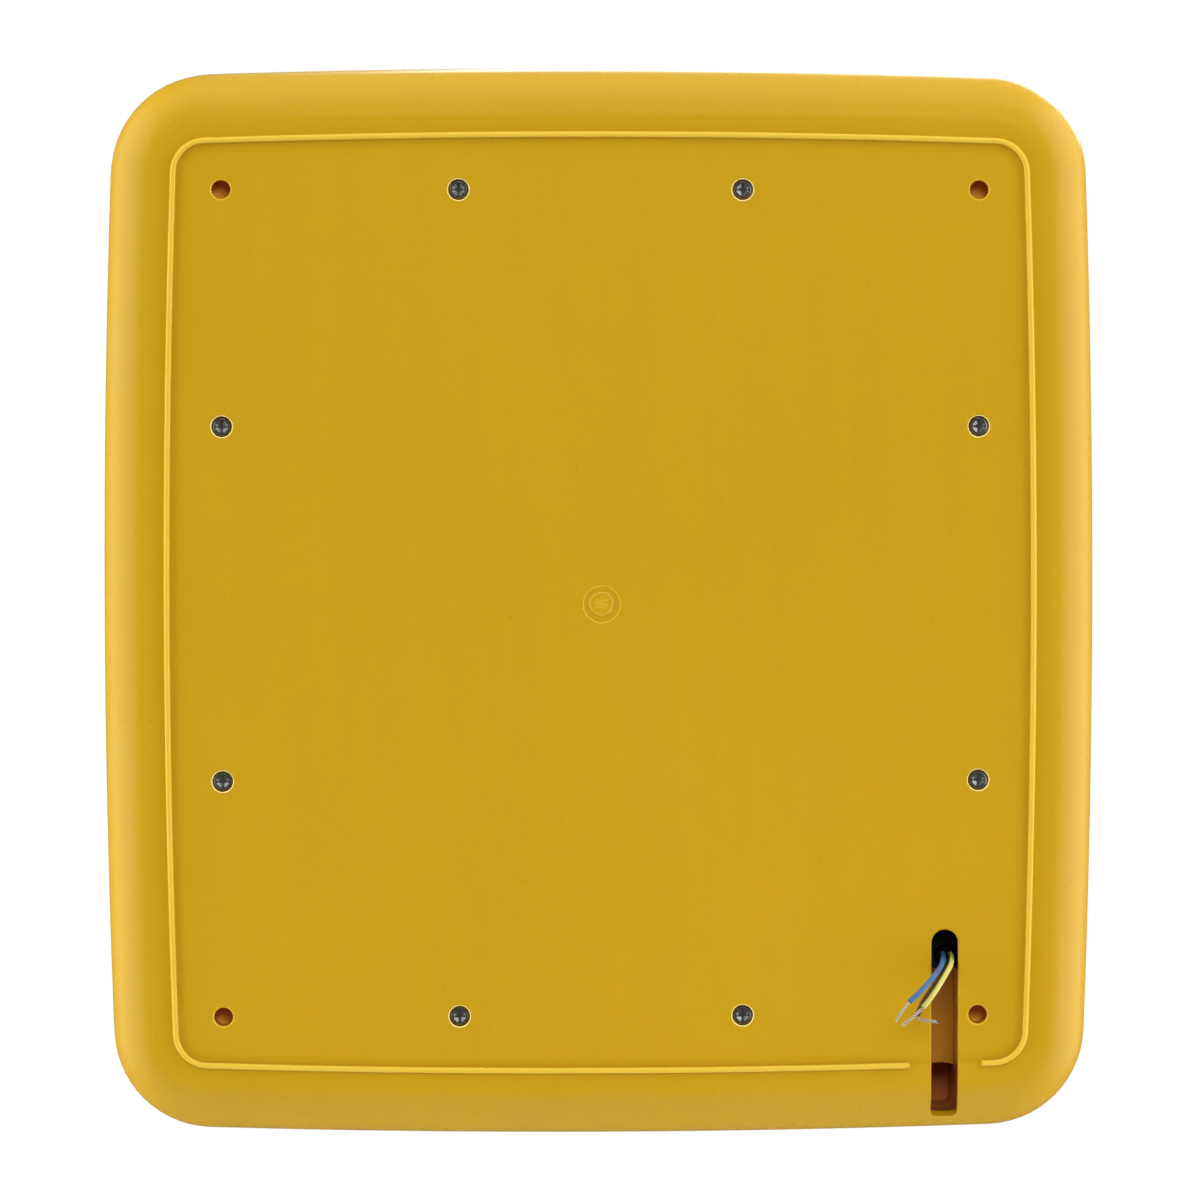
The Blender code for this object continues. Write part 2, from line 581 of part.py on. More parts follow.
def cable_grommet():
    grommet = piece(
        "cable_grommet",
        "black_rubber",
        lambda bm: rod(bm, GROMMET_X, GROMMET_Z, GROMMET_FACE, DUCT_FLOOR - GAP, GROMMET_R, FINE_SIDES),
    )
    near, far = GROMMET_FACE - OVER, NECK_END + OVER
    add(grommet, lambda bm: rod(bm, CABLE_X, CABLE_Z, GROMMET_FACE + OVER, NECK_END, NECK_R, FINE_SIDES))
    cut(grommet, lambda bm: rod(bm, CABLE_X, CABLE_Z, near, far, CABLE_R + 2 * GAP, FINE_SIDES))
    return smooth(grommet)


def grommet_nut():
    """A hexagonal nut on the grommet's neck."""
    near, far = NUT_BACK - OVER, NECK_END + OVER
    nut = piece(
        "grommet_nut", "black_plastic", lambda bm: rod(bm, CABLE_X, CABLE_Z, NUT_BACK, NECK_END, NUT_R, 6)
    )
    cut(nut, lambda bm: rod(bm, CABLE_X, CABLE_Z, near, far, NECK_R + 2 * GAP, FINE_SIDES))
    return nut


def conductors():
    """The three free conductors, with their insulation and their bare ends."""
    for colour, route in WIRES.items():
        tube(f"wire_{colour}", f"{colour}_pvc", route, WIRE_R, steps=2)
        tube(f"strand_{colour}", "tinned_copper", STRANDS[colour], STRAND_R, steps=2)


# ---------------------------------------------------------------- front frame
def door_knuckles():
    """Z range of each of the door's four hinge knuckles."""
    near = LUG_HALF + 2 * GAP
    return [sorted((z + side * near, z + side * KNUCKLE_END)) for z in HINGE_SPOTS for side in SIGNS]


def front_frame():
    def framed(inset):
        return outline(*FRAME_SHAPE, inset)

    profile = [
        (framed(0.0), FRAME_BACK),
        (framed(0.0), FRAME_SHOULDER),
        *((framed(inset), depth) for inset, depth in FRAME_EDGE),
        (outline(*OPENING), FLANGE_FRONT),
        (outline(*OPENING), FLANGE_BACK),
        (body(FLANGE_INSET), FLANGE_BACK),
        (body(TONGUE_IN), TONGUE_BACK),
        (body(TONGUE_OUT), TONGUE_BACK),
        (body(TONGUE_OUT), FRAME_BACK),
    ]
    frame = piece("front_frame", "yellow_plastic", lambda bm: skin(bm, profile, loop=True))

    def lugs(bm):
        for z in HINGE_SPOTS:
            x0, x1 = HINGE_X - LUG_IN, HINGE_X + LUG_OUT
            block(bm, x0, x1, LUG_BACK, HINGE_DEPTH, z - LUG_HALF, z + LUG_HALF)

    def barrels(bm):
        for z in HINGE_SPOTS:
            upright(bm, HINGE_X, HINGE_DEPTH, z - LUG_HALF, z + LUG_HALF, KNUCKLE_R)

    def openings(bm):
        rods(bm, SCREW_SPOTS, BOSS_END, PILOT_END, SHANK_HOLE_R, SMALL_SIDES)
        near, far = FLANGE_BACK - OVER, FLANGE_FRONT + OVER
        half_x, half_z = CAM_HALF_W + CAM_SLOT_X, CAM_HALF_L + CAM_SLOT_Z
        for x, z in LATCH_SPOTS:
            block(bm, x - half_x, x + half_x, near, far, z - half_z, z + half_z)
        for z in HINGE_SPOTS:
            upright(bm, HINGE_X, HINGE_DEPTH, z - LUG_HALF - OVER, z + LUG_HALF + OVER, PIN_HOLE_R)

    pillar_end = (FLANGE_BACK + FLANGE_FRONT) / 2
    add(frame, lambda bm: rods(bm, SCREW_SPOTS, BOSS_END + GAP, pillar_end, PILLAR_R))
    add(frame, lugs)
    add(frame, barrels)
    cut(frame, openings)
    return smooth(frame)


def body_gasket():
    near, far = REAR_RIM + GAP, FRAME_BACK - GAP
    section = [(GASKET_OUT, near), (GASKET_OUT, far), (GASKET_IN, far), (GASKET_IN, near)]
    return piece(
        "body_gasket", "black_rubber", lambda bm: skin(bm, [(body(i), d) for i, d in section], loop=True)
    )


def hinge_pin(name, z):
    """A pin with a cap at its upper end."""
    place = (HINGE_X, -HINGE_DEPTH, z)
    pin = piece(name, "steel", lambda bm: upright(bm, 0, 0, -PIN_END, PIN_END, PIN_R), location=place)
    add(pin, lambda bm: upright(bm, 0, 0, KNUCKLE_END + GAP, PIN_CAP_END, PIN_CAP_R))
    return smooth(pin)


# ---------------------------------------------------------------- door
def lens_door():
    nose = round_nose(DOOR_EDGE_R, DOOR_INSET, DOOR_FRONT, 2)
    inner = DOOR_INSET + DOOR_WALL
    profile = [(body(DOOR_INSET), DOOR_BACK)] + [(body(inset), depth) for inset, depth in nose]
    profile += [
        (outline(*WINDOW_OUTER), DOOR_FRONT),
        (outline(*WINDOW_INNER), SEAT_FLOOR),
        (outline(*SEAT), SEAT_FLOOR),
        (outline(*SEAT), SEAT_BACK),
        (outline(*SEAT_WALL), SEAT_BACK),
        (outline(*SEAT_WALL), DOOR_HOLLOW),
        (body(inner + 2 * OVER), DOOR_HOLLOW),
        (body(inner), DOOR_HOLLOW - 3 * OVER),
        (body(inner), DOOR_BACK),
    ]
    door = piece("lens_door", "black_plastic", lambda bm: skin(bm, profile, loop=True))

    def bosses(bm):
        rods(bm, VISOR_SPOTS, VISOR_BOSS_END, DOOR_HOLLOW + OVER, VISOR_BOSS_R)
        rods(bm, LATCH_SPOTS, DOOR_BACK + OVER, DOOR_HOLLOW + OVER, LATCH_BOSS_R)

    def knuckle_arms(bm):
        for low, high in door_knuckles():
            block(bm, HALF_W - inner + GAP, HINGE_X, ARM_BACK, HINGE_DEPTH + KNUCKLE_R, low, high)

    def knuckles(bm):
        for low, high in door_knuckles():
            upright(bm, HINGE_X, HINGE_DEPTH, low, high, KNUCKLE_R)

    def holes(bm):
        rods(bm, VISOR_SPOTS, VISOR_BOSS_END - OVER, DOOR_FRONT + OVER, SMALL_HOLE_R, SMALL_SIDES)
        rods(bm, RETAINER_SPOTS, SEAT_FLOOR - OVER, RETAINER_END + OVER, SMALL_HOLE_R, SMALL_SIDES)
        rods(bm, LATCH_SPOTS, DOOR_BACK, DOOR_FRONT + OVER, LATCH_HOLE_R)
        for z in HINGE_SPOTS:
            upright(bm, HINGE_X, HINGE_DEPTH, z - KNUCKLE_END - OVER, z + KNUCKLE_END + OVER, PIN_HOLE_R)

    add(door, bosses)
    add(door, knuckle_arms)
    add(door, knuckles)
    cut(door, holes)
    return smooth(door)


def door_gasket():
    near, far = FLANGE_FRONT + GAP, DOOR_BACK - GAP
    section = [(DOOR_GASKET_OUT, near), (DOOR_GASKET_OUT, far), (DOOR_GASKET_IN, far), (DOOR_GASKET_IN, near)]
    return piece(
        "door_gasket", "black_rubber", lambda bm: skin(bm, [(body(i), d) for i, d in section], loop=True)
    )


def latch(name, z):
    """Quarter-turn latch: a slotted knob, a shaft, and a cam that stands upright in line with the slot."""
    made = piece(
        name,
        "steel",
        lambda bm: rod(bm, 0, 0, CAM_BACK, KNOB_FRONT - OVER, LATCH_SHAFT_R),
        location=(LATCH_X, 0, z),
    )
    half_w, half_l, slot_w, slot_l = CAM_HALF_W, CAM_HALF_L, KNOB_SLOT_HALF_W, KNOB_SLOT_HALF_L
    slot_back = KNOB_FRONT - KNOB_SLOT_DEEP
    add(made, lambda bm: rod(bm, 0, 0, DOOR_FRONT + GAP, KNOB_FRONT, KNOB_R, FINE_SIDES))
    add(made, lambda bm: block(bm, -half_w, half_w, CAM_BACK - GAP, CAM_FRONT, -half_l, half_l))
    cut(made, lambda bm: block(bm, -slot_w, slot_w, slot_back, KNOB_FRONT + OVER, -slot_l, slot_l))
    return smooth(made)


def optics_plate(name, finish, back, front):
    """A plate that fills the door's pocket, with holes for the retainer's screws."""
    made = piece(name, finish, lambda bm: plate(bm, outline(*shrunk(SEAT)), back, front))
    cut(made, lambda bm: rods(bm, RETAINER_SPOTS, back - OVER, front + OVER, SMALL_HOLE_R, SMALL_SIDES))
    return made


def symbol_mask():
    """The black mask with a standing figure over the red side and a walking figure over the green side."""
    mask = optics_plate("symbol_mask", "black_plastic", MASK_BACK, MASK_FRONT)
    near, far = MASK_BACK - OVER, MASK_FRONT + OVER

    def figures(bm):
        standing = [Vector((-BOARD_X + x, z)) for x, z in STANDING]
        standing += [Vector((-BOARD_X - x, z)) for x, z in reversed(STANDING)]
        walking = [Vector((BOARD_X + x, z)) for x, z in WALKING]
        for figure in (standing, walking):
            plate(bm, figure, near, far)
        for x in (-BOARD_X, BOARD_X + WALKER_HEAD_X):
            rod(bm, x, HEAD_Z, near, far, HEAD_R, FINE_SIDES)

    cut(mask, figures)
    return mask


def diffuser(name, finish, side):
    shape = rounded(*DIFFUSER, x=side * BOARD_X)
    return piece(name, finish, lambda bm: plate(bm, shape, DIFFUSER_BACK, DIFFUSER_FRONT))


def lens_retainer():
    made = optics_plate("lens_retainer", "black_plastic", RETAINER_BACK, RETAINER_FRONT)
    near, far = RETAINER_BACK - OVER, RETAINER_FRONT + OVER

    def windows(bm):
        for side in SIGNS:
            plate(bm, rounded(*RETAINER_WINDOW, x=side * BOARD_X), near, far)

    cut(made, windows)
    return made


def sun_visor():
    """A hood over the top and the sides of the window, open below, on a flat flange."""
    root = (VISOR_BACK + VISOR_FLANGE) / 2
    hood = [
        (outline(*VISOR_OUTER), root),
        (outline(*VISOR_OUTER), VISOR_REACH),
        (outline(*VISOR_INNER), VISOR_REACH),
        (outline(*VISOR_INNER), root),
    ]
    visor = piece("sun_visor", "black_plastic", lambda bm: skin(bm, hood, loop=True))
    (low_depth, low_z), (high_depth, high_z) = VISOR_CUT
    below, past = -HALF_H, VISOR_REACH + HALF_W
    side_edge = [(low_depth, below), (low_depth, low_z), (high_depth, high_z), (past, high_z), (past, below)]

    def wedge(bm):
        sides = [[bm.verts.new((x, -depth, z)) for depth, z in side_edge] for x in (-HALF_W, HALF_W)]
        bm.faces.new(sides[0])
        bm.faces.new(sides[1])
        for i in range(len(side_edge)):
            j = (i + 1) % len(side_edge)
            bm.faces.new((sides[0][i], sides[0][j], sides[1][j], sides[1][i]))
        bmesh.ops.recalc_face_normals(bm, faces=bm.faces)

    cut(visor, wedge)
    flange = [
        (outline(*VISOR_FLANGE_SHAPE), VISOR_BACK),
        (outline(*VISOR_FLANGE_SHAPE), VISOR_FLANGE),
        (outline(*shrunk(VISOR_INNER, -VISOR_LAP)), VISOR_FLANGE),
        (outline(*shrunk(VISOR_INNER, -VISOR_LAP)), VISOR_BACK),
    ]
    near, far = VISOR_BACK - OVER, VISOR_FLANGE + OVER
    add(visor, lambda bm: skin(bm, flange, loop=True))
    cut(visor, lambda bm: rods(bm, VISOR_SPOTS, near, far, SMALL_HOLE_R, SMALL_SIDES))
    return smooth(visor)


# ---------------------------------------------------------------- gear inside
def gear_tray():
    tray = piece("gear_tray", "white_plastic", lambda bm: plate(bm, rounded(*TRAY), TRAY_BACK, TRAY_FRONT))
    leads = [(sx * LEAD_X, LED_LEAD[0][2]) for sx in SIGNS]
    near, far = TRAY_BACK - OVER, TRAY_FRONT + OVER
    cut(tray, lambda bm: rods(bm, POST_SPOTS + EAR_SPOTS, near, far, SMALL_HOLE_R, SMALL_SIDES))
    cut(tray, lambda bm: rods(bm, leads, near, far, LEAD_HOLE_R, SMALL_SIDES))
    return tray


def led_board(name, side):
    """A board with three columns of LEDs on its front."""
    x, half_w, half_h = side * BOARD_X, BOARD_HALF_W, BOARD_HALF_H
    board = piece(
        name,
        "white_plastic",
        lambda bm: block(bm, x - half_w, x + half_w, BOARD_BACK, BOARD_FRONT, -half_h, half_h),
    )

    def chips(bm):
        near, far = (BOARD_BACK + BOARD_FRONT) / 2, BOARD_FRONT + CHIP_RISE
        for column in range(3):
            for row in range(5):
                cx, cz = x + (column - 1) * CHIP_PITCH_X, (row - 2) * CHIP_PITCH_Z
                block(bm, cx - CHIP_HALF, cx + CHIP_HALF, near, far, cz - CHIP_HALF, cz + CHIP_HALF)

    add(board, chips)
    return board


def light_box(name, side):
    """A white box, open at both ends, that leads one board's light to one diffuser."""
    x = side * BOARD_X
    profile = [
        (rounded(*BOX_REAR, x=x), BOX_BACK),
        (rounded(*BOX_MOUTH, x=x), BOX_FRONT),
        (rounded(*shrunk(BOX_MOUTH, BOX_WALL), x=x), BOX_FRONT),
        (rounded(*shrunk(BOX_REAR, BOX_WALL), x=x), BOX_BACK),
    ]
    return smooth(piece(name, "white_plastic", lambda bm: skin(bm, profile, loop=True)))


def led_driver():
    """The power supply: a box with one screw ear at each end, on the back of the tray."""
    reach = DRIVER_HALF_L + EAR_REACH
    front = TRAY_BACK - GAP
    driver = piece(
        "led_driver",
        "grey_plastic",
        lambda bm: plate(bm, rounded(DRIVER_HALF_L, DRIVER_HALF_H, DRIVER_CORNER_R), DRIVER_BACK, front),
    )
    add(driver, lambda bm: block(bm, -reach, reach, EAR_BACK, front - GAP / 3, -EAR_HALF_H, EAR_HALF_H))
    cut(driver, lambda bm: rods(bm, EAR_SPOTS, EAR_BACK - OVER, front + OVER, SMALL_HOLE_R, SMALL_SIDES))
    return driver


def terminal_block():
    """A three-pole mains terminal block with a screw well over each pole."""
    x0, x1 = TERMINAL_X - TERMINAL_HALF_X, TERMINAL_X + TERMINAL_HALF_X
    z0, z1 = TERMINAL_Z - TERMINAL_HALF_Z, TERMINAL_Z + TERMINAL_HALF_Z
    front = TRAY_BACK - GAP
    made = piece(
        "terminal_block", "white_plastic", lambda bm: block(bm, x0, x1, TERMINAL_BACK, front, z0, z1)
    )
    wells = [(TERMINAL_X + i * WELL_PITCH, TERMINAL_Z + sz * WELL_Z) for i in (-1, 0, 1) for sz in SIGNS]
    near, far = TERMINAL_BACK - OVER, TERMINAL_BACK + WELL_DEEP
    cut(made, lambda bm: rods(bm, wells, near, far, WELL_R, SMALL_SIDES))
    return made


def led_lead(name, side):
    points = [(side * x, y, z) for x, y, z in LED_LEAD]
    return tube(name, "black_plastic", points, LEAD_R)


# ---------------------------------------------------------------- assembly
def main():
    for obj in list(bpy.data.objects):
        bpy.data.objects.remove(obj, do_unlink=True)

    rear_housing()
    front_frame()
    body_gasket()
    cable_grommet()
    grommet_nut()
    tube("supply_cable", "black_plastic", SUPPLY_CABLE, CABLE_R)
    conductors()
    gear_tray()
    led_driver()
    terminal_block()
    tube("driver_lead", "black_plastic", DRIVER_LEAD, DRIVER_LEAD_R)
    for suffix, side in (("stop", -1), ("walk", 1)):
        led_board(f"led_board_{suffix}", side)
        light_box(f"light_box_{suffix}", side)
        led_lead(f"led_lead_{suffix}", side)
    hinge_pin("hinge_pin_upper", HINGE_Z)
    hinge_pin("hinge_pin_lower", -HINGE_Z)
    housing_screw = screw_mesh(*HOUSING_SCREW, HOUSING_SCREW_L, ROUND_SIDES)
    screws("housing_screw", housing_screw, SCREW_SPOTS, HEAD_SINK - GAP)
    tray_screw = screw_mesh(*SMALL_SCREW, TRAY_SCREW_L)
    screws("tray_screw", tray_screw, POST_SPOTS, TRAY_FRONT + GAP, turn=pi)
    screws("driver_screw", screw_mesh(*SMALL_SCREW, EAR_SCREW_L), EAR_SPOTS, EAR_BACK - GAP)

    door = [lens_door(), door_gasket(), sun_visor(), symbol_mask(), lens_retainer()]
    door.append(optics_plate("front_lens", "clear_lens", LENS_BACK, LENS_FRONT))
    door.append(diffuser("diffuser_stop", "red_lens", -1))
    door.append(diffuser("diffuser_walk", "green_lens", 1))
    retainer_screw = screw_mesh(*SMALL_SCREW, RETAINER_SCREW_L)
    door += screws("retainer_screw", retainer_screw, RETAINER_SPOTS, RETAINER_BACK - GAP)
    door += screws("visor_screw", tray_screw, VISOR_SPOTS, VISOR_FLANGE + GAP, turn=pi)
    hinge = axis_empty("door_axis", (HINGE_X, -HINGE_DEPTH, 0))
    latches = []
    for suffix, z in (("upper", LATCH_Z), ("lower", -LATCH_Z)):
        turn_axis = axis_empty(f"latch_{suffix}_axis", (LATCH_X, 0, z))
        hang_on(turn_axis, [latch(f"latch_{suffix}", z)])
        latches.append(turn_axis)
    hang_on(hinge, door + latches)


main()
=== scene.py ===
import json
from math import atan2, cos, pi, radians, sin, sqrt

import bmesh
import bpy
from mathutils import Matrix, Vector
from mathutils.geometry import interpolate_bezier

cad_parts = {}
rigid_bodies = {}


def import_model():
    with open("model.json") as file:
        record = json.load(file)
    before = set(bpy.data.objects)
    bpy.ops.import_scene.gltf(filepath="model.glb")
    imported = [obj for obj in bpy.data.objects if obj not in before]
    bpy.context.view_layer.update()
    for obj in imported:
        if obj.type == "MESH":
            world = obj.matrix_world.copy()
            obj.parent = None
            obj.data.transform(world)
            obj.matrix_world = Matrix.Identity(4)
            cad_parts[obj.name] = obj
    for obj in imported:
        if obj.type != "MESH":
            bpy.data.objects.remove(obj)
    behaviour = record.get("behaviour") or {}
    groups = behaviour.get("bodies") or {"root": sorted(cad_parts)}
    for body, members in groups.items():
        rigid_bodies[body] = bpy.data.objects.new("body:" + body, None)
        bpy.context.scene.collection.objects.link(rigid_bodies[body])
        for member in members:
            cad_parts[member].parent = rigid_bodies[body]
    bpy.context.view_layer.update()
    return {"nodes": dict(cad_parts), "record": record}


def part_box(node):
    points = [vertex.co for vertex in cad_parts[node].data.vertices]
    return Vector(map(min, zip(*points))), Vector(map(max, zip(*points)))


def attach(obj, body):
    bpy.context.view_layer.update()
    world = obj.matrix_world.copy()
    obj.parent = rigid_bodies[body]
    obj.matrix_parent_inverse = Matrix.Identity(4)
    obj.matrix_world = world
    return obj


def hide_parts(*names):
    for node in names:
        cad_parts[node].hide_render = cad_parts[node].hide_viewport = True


for stray in list(bpy.data.objects):
    bpy.data.objects.remove(stray, do_unlink=True)
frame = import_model()


def centre_of(node):
    low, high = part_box(node)
    return (low + high) / 2


def spots_of(prefix, count):
    """(x, z) of each numbered node of one kind."""
    centres = [centre_of(f"{prefix}_{i + 1}") for i in range(count)]
    return [(c.x, c.z) for c in centres]


# ---------------------------------------------------------------- sizes, in metres
# The lenses face -Y and the flat back lies on Y = 0. A depth is a distance forward from the back.
SHELL_LOW, SHELL_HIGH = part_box("rear_housing")
HALF_W, HALF_H = SHELL_HIGH.x, SHELL_HIGH.z
CORNER_R, BOW_R = 0.0400, 4.5
SIDE_STEPS, CORNER_STEPS = 8, 14
ROUND, FINE = 32, 56  # sides of small and of large cylinders
WALL, GAP = 0.0032, 0.0003
SIGNS = (-1, 1)

EDGE_R, DRAFT = 0.0192, 0.0026
REAR_RIM = -SHELL_LOW.y
RIB_SHAPE, RIB_W, RIB_H, RIB_GAP = (0.16195, 0.17495, 0.0120), 0.0020, SHELL_HIGH.y, 0.0140
RIB_SINK, RIB_ROUND, RIB_FLARE = 0.0008, 0.0007, 0.00035  # buried base, height of the round top, fillet
FRAME_STEP = 0.0006  # the front frame is this much smaller all round
FRAME_SHAPE = (HALF_W - FRAME_STEP, HALF_H - FRAME_STEP, CORNER_R - FRAME_STEP)
FRAME_BACK, FRAME_SHOULDER, FLANGE_BACK, FLANGE_FRONT = 0.0570, 0.0710, 0.0735, 0.0775
TONGUE_BACK, TONGUE_OUT, TONGUE_IN = 0.0500, 0.0042, 0.0064
OPENING = (0.130, 0.1425, 0.008)
BODY_GASKET, DOOR_GASKET = (0.0009, 0.0029), (0.0128, 0.0146)

DOOR_INSET, DOOR_WALL, DOOR_EDGE_R = 0.012, 0.0032, 0.0060
DOOR_BACK, DOOR_FRONT = 0.0795, 0.1022
WINDOW_OUTER = (0.1400, 0.1525, 0.0200)
WINDOW_INNER = (0.1350, 0.1475, 0.0150)
SEAT = (0.1456, 0.1581, 0.0125)
SEAT_WALL = (0.1490, 0.1615, 0.0155)
SEAT_BACK, SEAT_FLOOR, DOOR_HOLLOW = 0.0805, 0.0950, 0.0988

SCREW_SPOTS = spots_of("housing_screw", 8)
POST_SPOTS = spots_of("tray_screw", 4)
VISOR_SPOTS = spots_of("visor_screw", 4)
RETAINER_SPOTS = spots_of("retainer_screw", 4)
HOLE_X = max(abs(x) for x, z in SCREW_SPOTS)
HOLE_Z = max(abs(z) for x, z in SCREW_SPOTS)
MOUNT_SPOTS = [(sx * HOLE_X, sz * HOLE_Z) for sx in SIGNS for sz in SIGNS]
MOUNT_HOLE_R, MOUNT_HOLE_END, MOUNT_BOSS_R, MOUNT_BOSS_END = 0.0035, 0.0100, 0.0070, 0.0135
BOSS_R, BOSS_END, HEAD_SINK, HEAD_BORE_R, SHANK_HOLE_R = 0.0058, 0.0138, 0.0030, 0.0038, 0.0022
PILLAR_R, PILOT_END, POST_PILOT, POST_END = 0.0056, 0.034, 0.032, 0.0453
CHAMFER = 0.0005  # mouths of the holes and of the cable slot

SLOT_X, SLOT_R, SLOT_TOP, SLOT_FOOT, SLOT_FOOT_R = -0.1289, 0.00505, -0.1224, -0.1919, 0.0025
# How far the slot's foot lies lower at its mouth, and between which depths it slopes.
FOOT_LIP, FOOT_LIP_START, FOOT_LIP_END = 0.0016, 0.0060, 0.0095
DUCT_FLOOR, DUCT_STEP_Z, DUCT_DEEP_FLOOR, DUCT_WALL = 0.0225, -0.1750, 0.0425, 0.0030
GROMMET_X, GROMMET_Z, GROMMET_R, GROMMET_FACE = -0.1287, -0.1287, 0.0099, 0.0125
CABLE_X, CABLE_Z, CABLE_R = -0.1302, -0.1335, 0.0036
NECK_R, NECK_END = 0.0056, 0.0320

GATE_X, GATE_Z, GATE_R, GATE_DEPTH, GATE_CORE_R = -0.0003, -0.0002, 0.0071, 0.00028, 0.0050
# Strength of the painted highlight on the bead and on the chamfers of the holes, of the screws' bores and of
# the gate mark, from 0 to 1.
HIGHLIGHT_ON_BEAD, HIGHLIGHT_ON_HOLE, HIGHLIGHT_ON_BORE, HIGHLIGHT_ON_GATE = 0.5, 0.5, 1.0, 0.30
# Head radius, head height, shank radius, length, and the recess as (reach, width, depth).
BIG_SCREW = (0.0035, 0.0023, 0.00175, 0.0250, (0.0024, 0.0010, 0.0018))
SMALL_SCREW = (0.0029, 0.0020, 0.0015, 0.0120, (0.0016, 0.0008, 0.0012))
SCREW_TURNS = (0.04, -0.03, 0.06, 0.0, -0.05, 0.03, 0.02, -0.02)

HINGE_X, HINGE_DEPTH, HINGE_Z = 0.1827, 0.0828, 0.100
KNUCKLE_R, PIN_R, PIN_HOLE_R, LUG_HALF, KNUCKLE_END, PIN_END = 0.0044, 0.0019, 0.0023, 0.0070, 0.0170, 0.0190
LUG_BACK, LUG_IN, LUG_OUT, ARM_BACK = 0.0765, 0.0028, 0.0020, 0.0022  # roots of the knuckles
LATCH_X, LATCH_Z, LATCH_SHAFT_R, LATCH_HOLE_R, LATCH_BOSS_R = -0.1606, 0.0875, 0.0037, 0.0042, 0.0070
CAM_HALF_L, CAM_HALF_W, CAM_BACK, CAM_FRONT = 0.0094, 0.0035, 0.0702, 0.0732
CAM_ROOM_X, CAM_ROOM_Z = 0.0008, 0.0010  # clearance of the cams in the front frame
KNOB_R, KNOB_FRONT = 0.0072, 0.1062
KNOB_SLOT_HALF_W, KNOB_SLOT_HALF_L, KNOB_SLOT_DEEP = 0.0009, 0.0085, 0.0020

VISOR_BACK, VISOR_FLANGE, VISOR_REACH = 0.1025, 0.1052, 0.1900
VISOR_OUTER, VISOR_INNER = (0.1450, 0.1575, 0.0210), (0.1422, 0.1547, 0.0182)
VISOR_FLANGE_SHAPE = (0.1505, 0.1770, 0.0240)
VISOR_CUT = ((0.110, -0.147), (0.194, 0.058))  # side edge of the hood, as depth and height
RETAINER_END, VISOR_BOSS_R, VISOR_BOSS_END, SMALL_HOLE_R = 0.0985, 0.0045, 0.0880, 0.0019
BOARD_X = 0.0645
MASK_BACK, MASK_FRONT = 0.0895, 0.0909
HEAD_Z, HEAD_R, WALKER_HEAD_X = 0.0840, 0.0165, -0.004
STANDING = (
    (0.021, 0.060), (0.028, 0.052), (0.028, -0.008), (0.019, -0.008), (0.019, 0.032),
    (0.0155, 0.032), (0.0155, -0.105), (0.003, -0.105), (0.003, -0.022),
)
WALKING = (
    (-0.002, 0.063), (0.012, 0.060), (0.020, 0.044), (0.038, 0.010), (0.030, 0.004), (0.013, 0.026),
    (0.013, -0.016), (0.022, -0.058), (0.044, -0.098), (0.034, -0.106), (0.011, -0.064), (0.000, -0.038),
    (-0.013, -0.066), (-0.014, -0.106), (-0.034, -0.106), (-0.034, -0.098), (-0.024, -0.095),
    (-0.024, -0.062), (-0.012, -0.014), (-0.012, 0.024), (-0.032, 0.000), (-0.040, 0.005),
    (-0.020, 0.042), (-0.013, 0.060),
)

WIRE_R = 0.00105
WIRES = {
    "blue": [
        (-0.12895, -0.01070, -0.13260), (-0.12863, -0.00500, -0.13325), (-0.12765, 0.00250, -0.13498),
        (-0.12516, 0.00938, -0.13749), (-0.12158, 0.01475, -0.14076), (-0.11767, 0.01825, -0.14421),
        (-0.11403, 0.02025, -0.14720),
    ],
    "brown": [
        (-0.12990, -0.01070, -0.13510), (-0.12950, -0.00525, -0.13600), (-0.12859, 0.00175, -0.13781),
        (-0.12607, 0.00750, -0.14043), (-0.12277, 0.01100, -0.14415), (-0.11966, 0.01250, -0.14846),
        (-0.11742, 0.01250, -0.15330),
    ],
    "earth": [
        (-0.13175, -0.01070, -0.13280), (-0.13180, -0.00500, -0.13363), (-0.13065, 0.00250, -0.13573),
        (-0.12806, 0.00900, -0.13877), (-0.12504, 0.01350, -0.14263), (-0.12206, 0.01625, -0.14641),
        (-0.11922, 0.01750, -0.14974),
    ],
}
STRANDS = {
    "blue": [
        (-0.11377, 0.02040, -0.14743), (-0.11138, 0.02100, -0.15033), (-0.10864, 0.02125, -0.15464),
    ],
    "brown": [
        (-0.11735, 0.01252, -0.15372), (-0.11865, 0.01263, -0.15477), (-0.12163, 0.01275, -0.15526),
        (-0.12547, 0.01288, -0.15574),
    ],
    "earth": [
        (-0.11897, 0.01760, -0.15003), (-0.11557, 0.01825, -0.15301), (-0.11158, 0.01863, -0.15630),
    ],
}


# ---------------------------------------------------------------- camera
CAMERA_LENS, CAMERA_SENSOR = 160.8, 36.0
CAMERA_PLACE, CAMERA_TURN = (0.0500, 2.0, 0.0720), (87.980, 0.0406, 178.5771)


def set_camera():
    data = bpy.data.cameras.new("camera")
    data.lens, data.sensor_width = CAMERA_LENS, CAMERA_SENSOR
    data.clip_start, data.clip_end = 0.01, 50.0
    camera = bpy.data.objects.new("camera", data)
    camera.location = CAMERA_PLACE
    camera.rotation_euler = [radians(turn) for turn in CAMERA_TURN]
    bpy.context.scene.collection.objects.link(camera)
    bpy.context.scene.camera = camera


# ---------------------------------------------------------------- materials
YELLOW_DARK, YELLOW_LIGHT = (0.570, 0.297, 0.0060), (0.595, 0.312, 0.0070)
# Painted highlight colour of the bead, painted shade beside its inner side, and painted highlight colour of
# the chamfer rings.
BEAD_HIGHLIGHT_COLOUR, BEAD_SHADE = (0.80, 0.48, 0.045), (0.53, 0.262, 0.0055)
RING_HIGHLIGHT_COLOUR = (0.90, 0.75, 0.40)
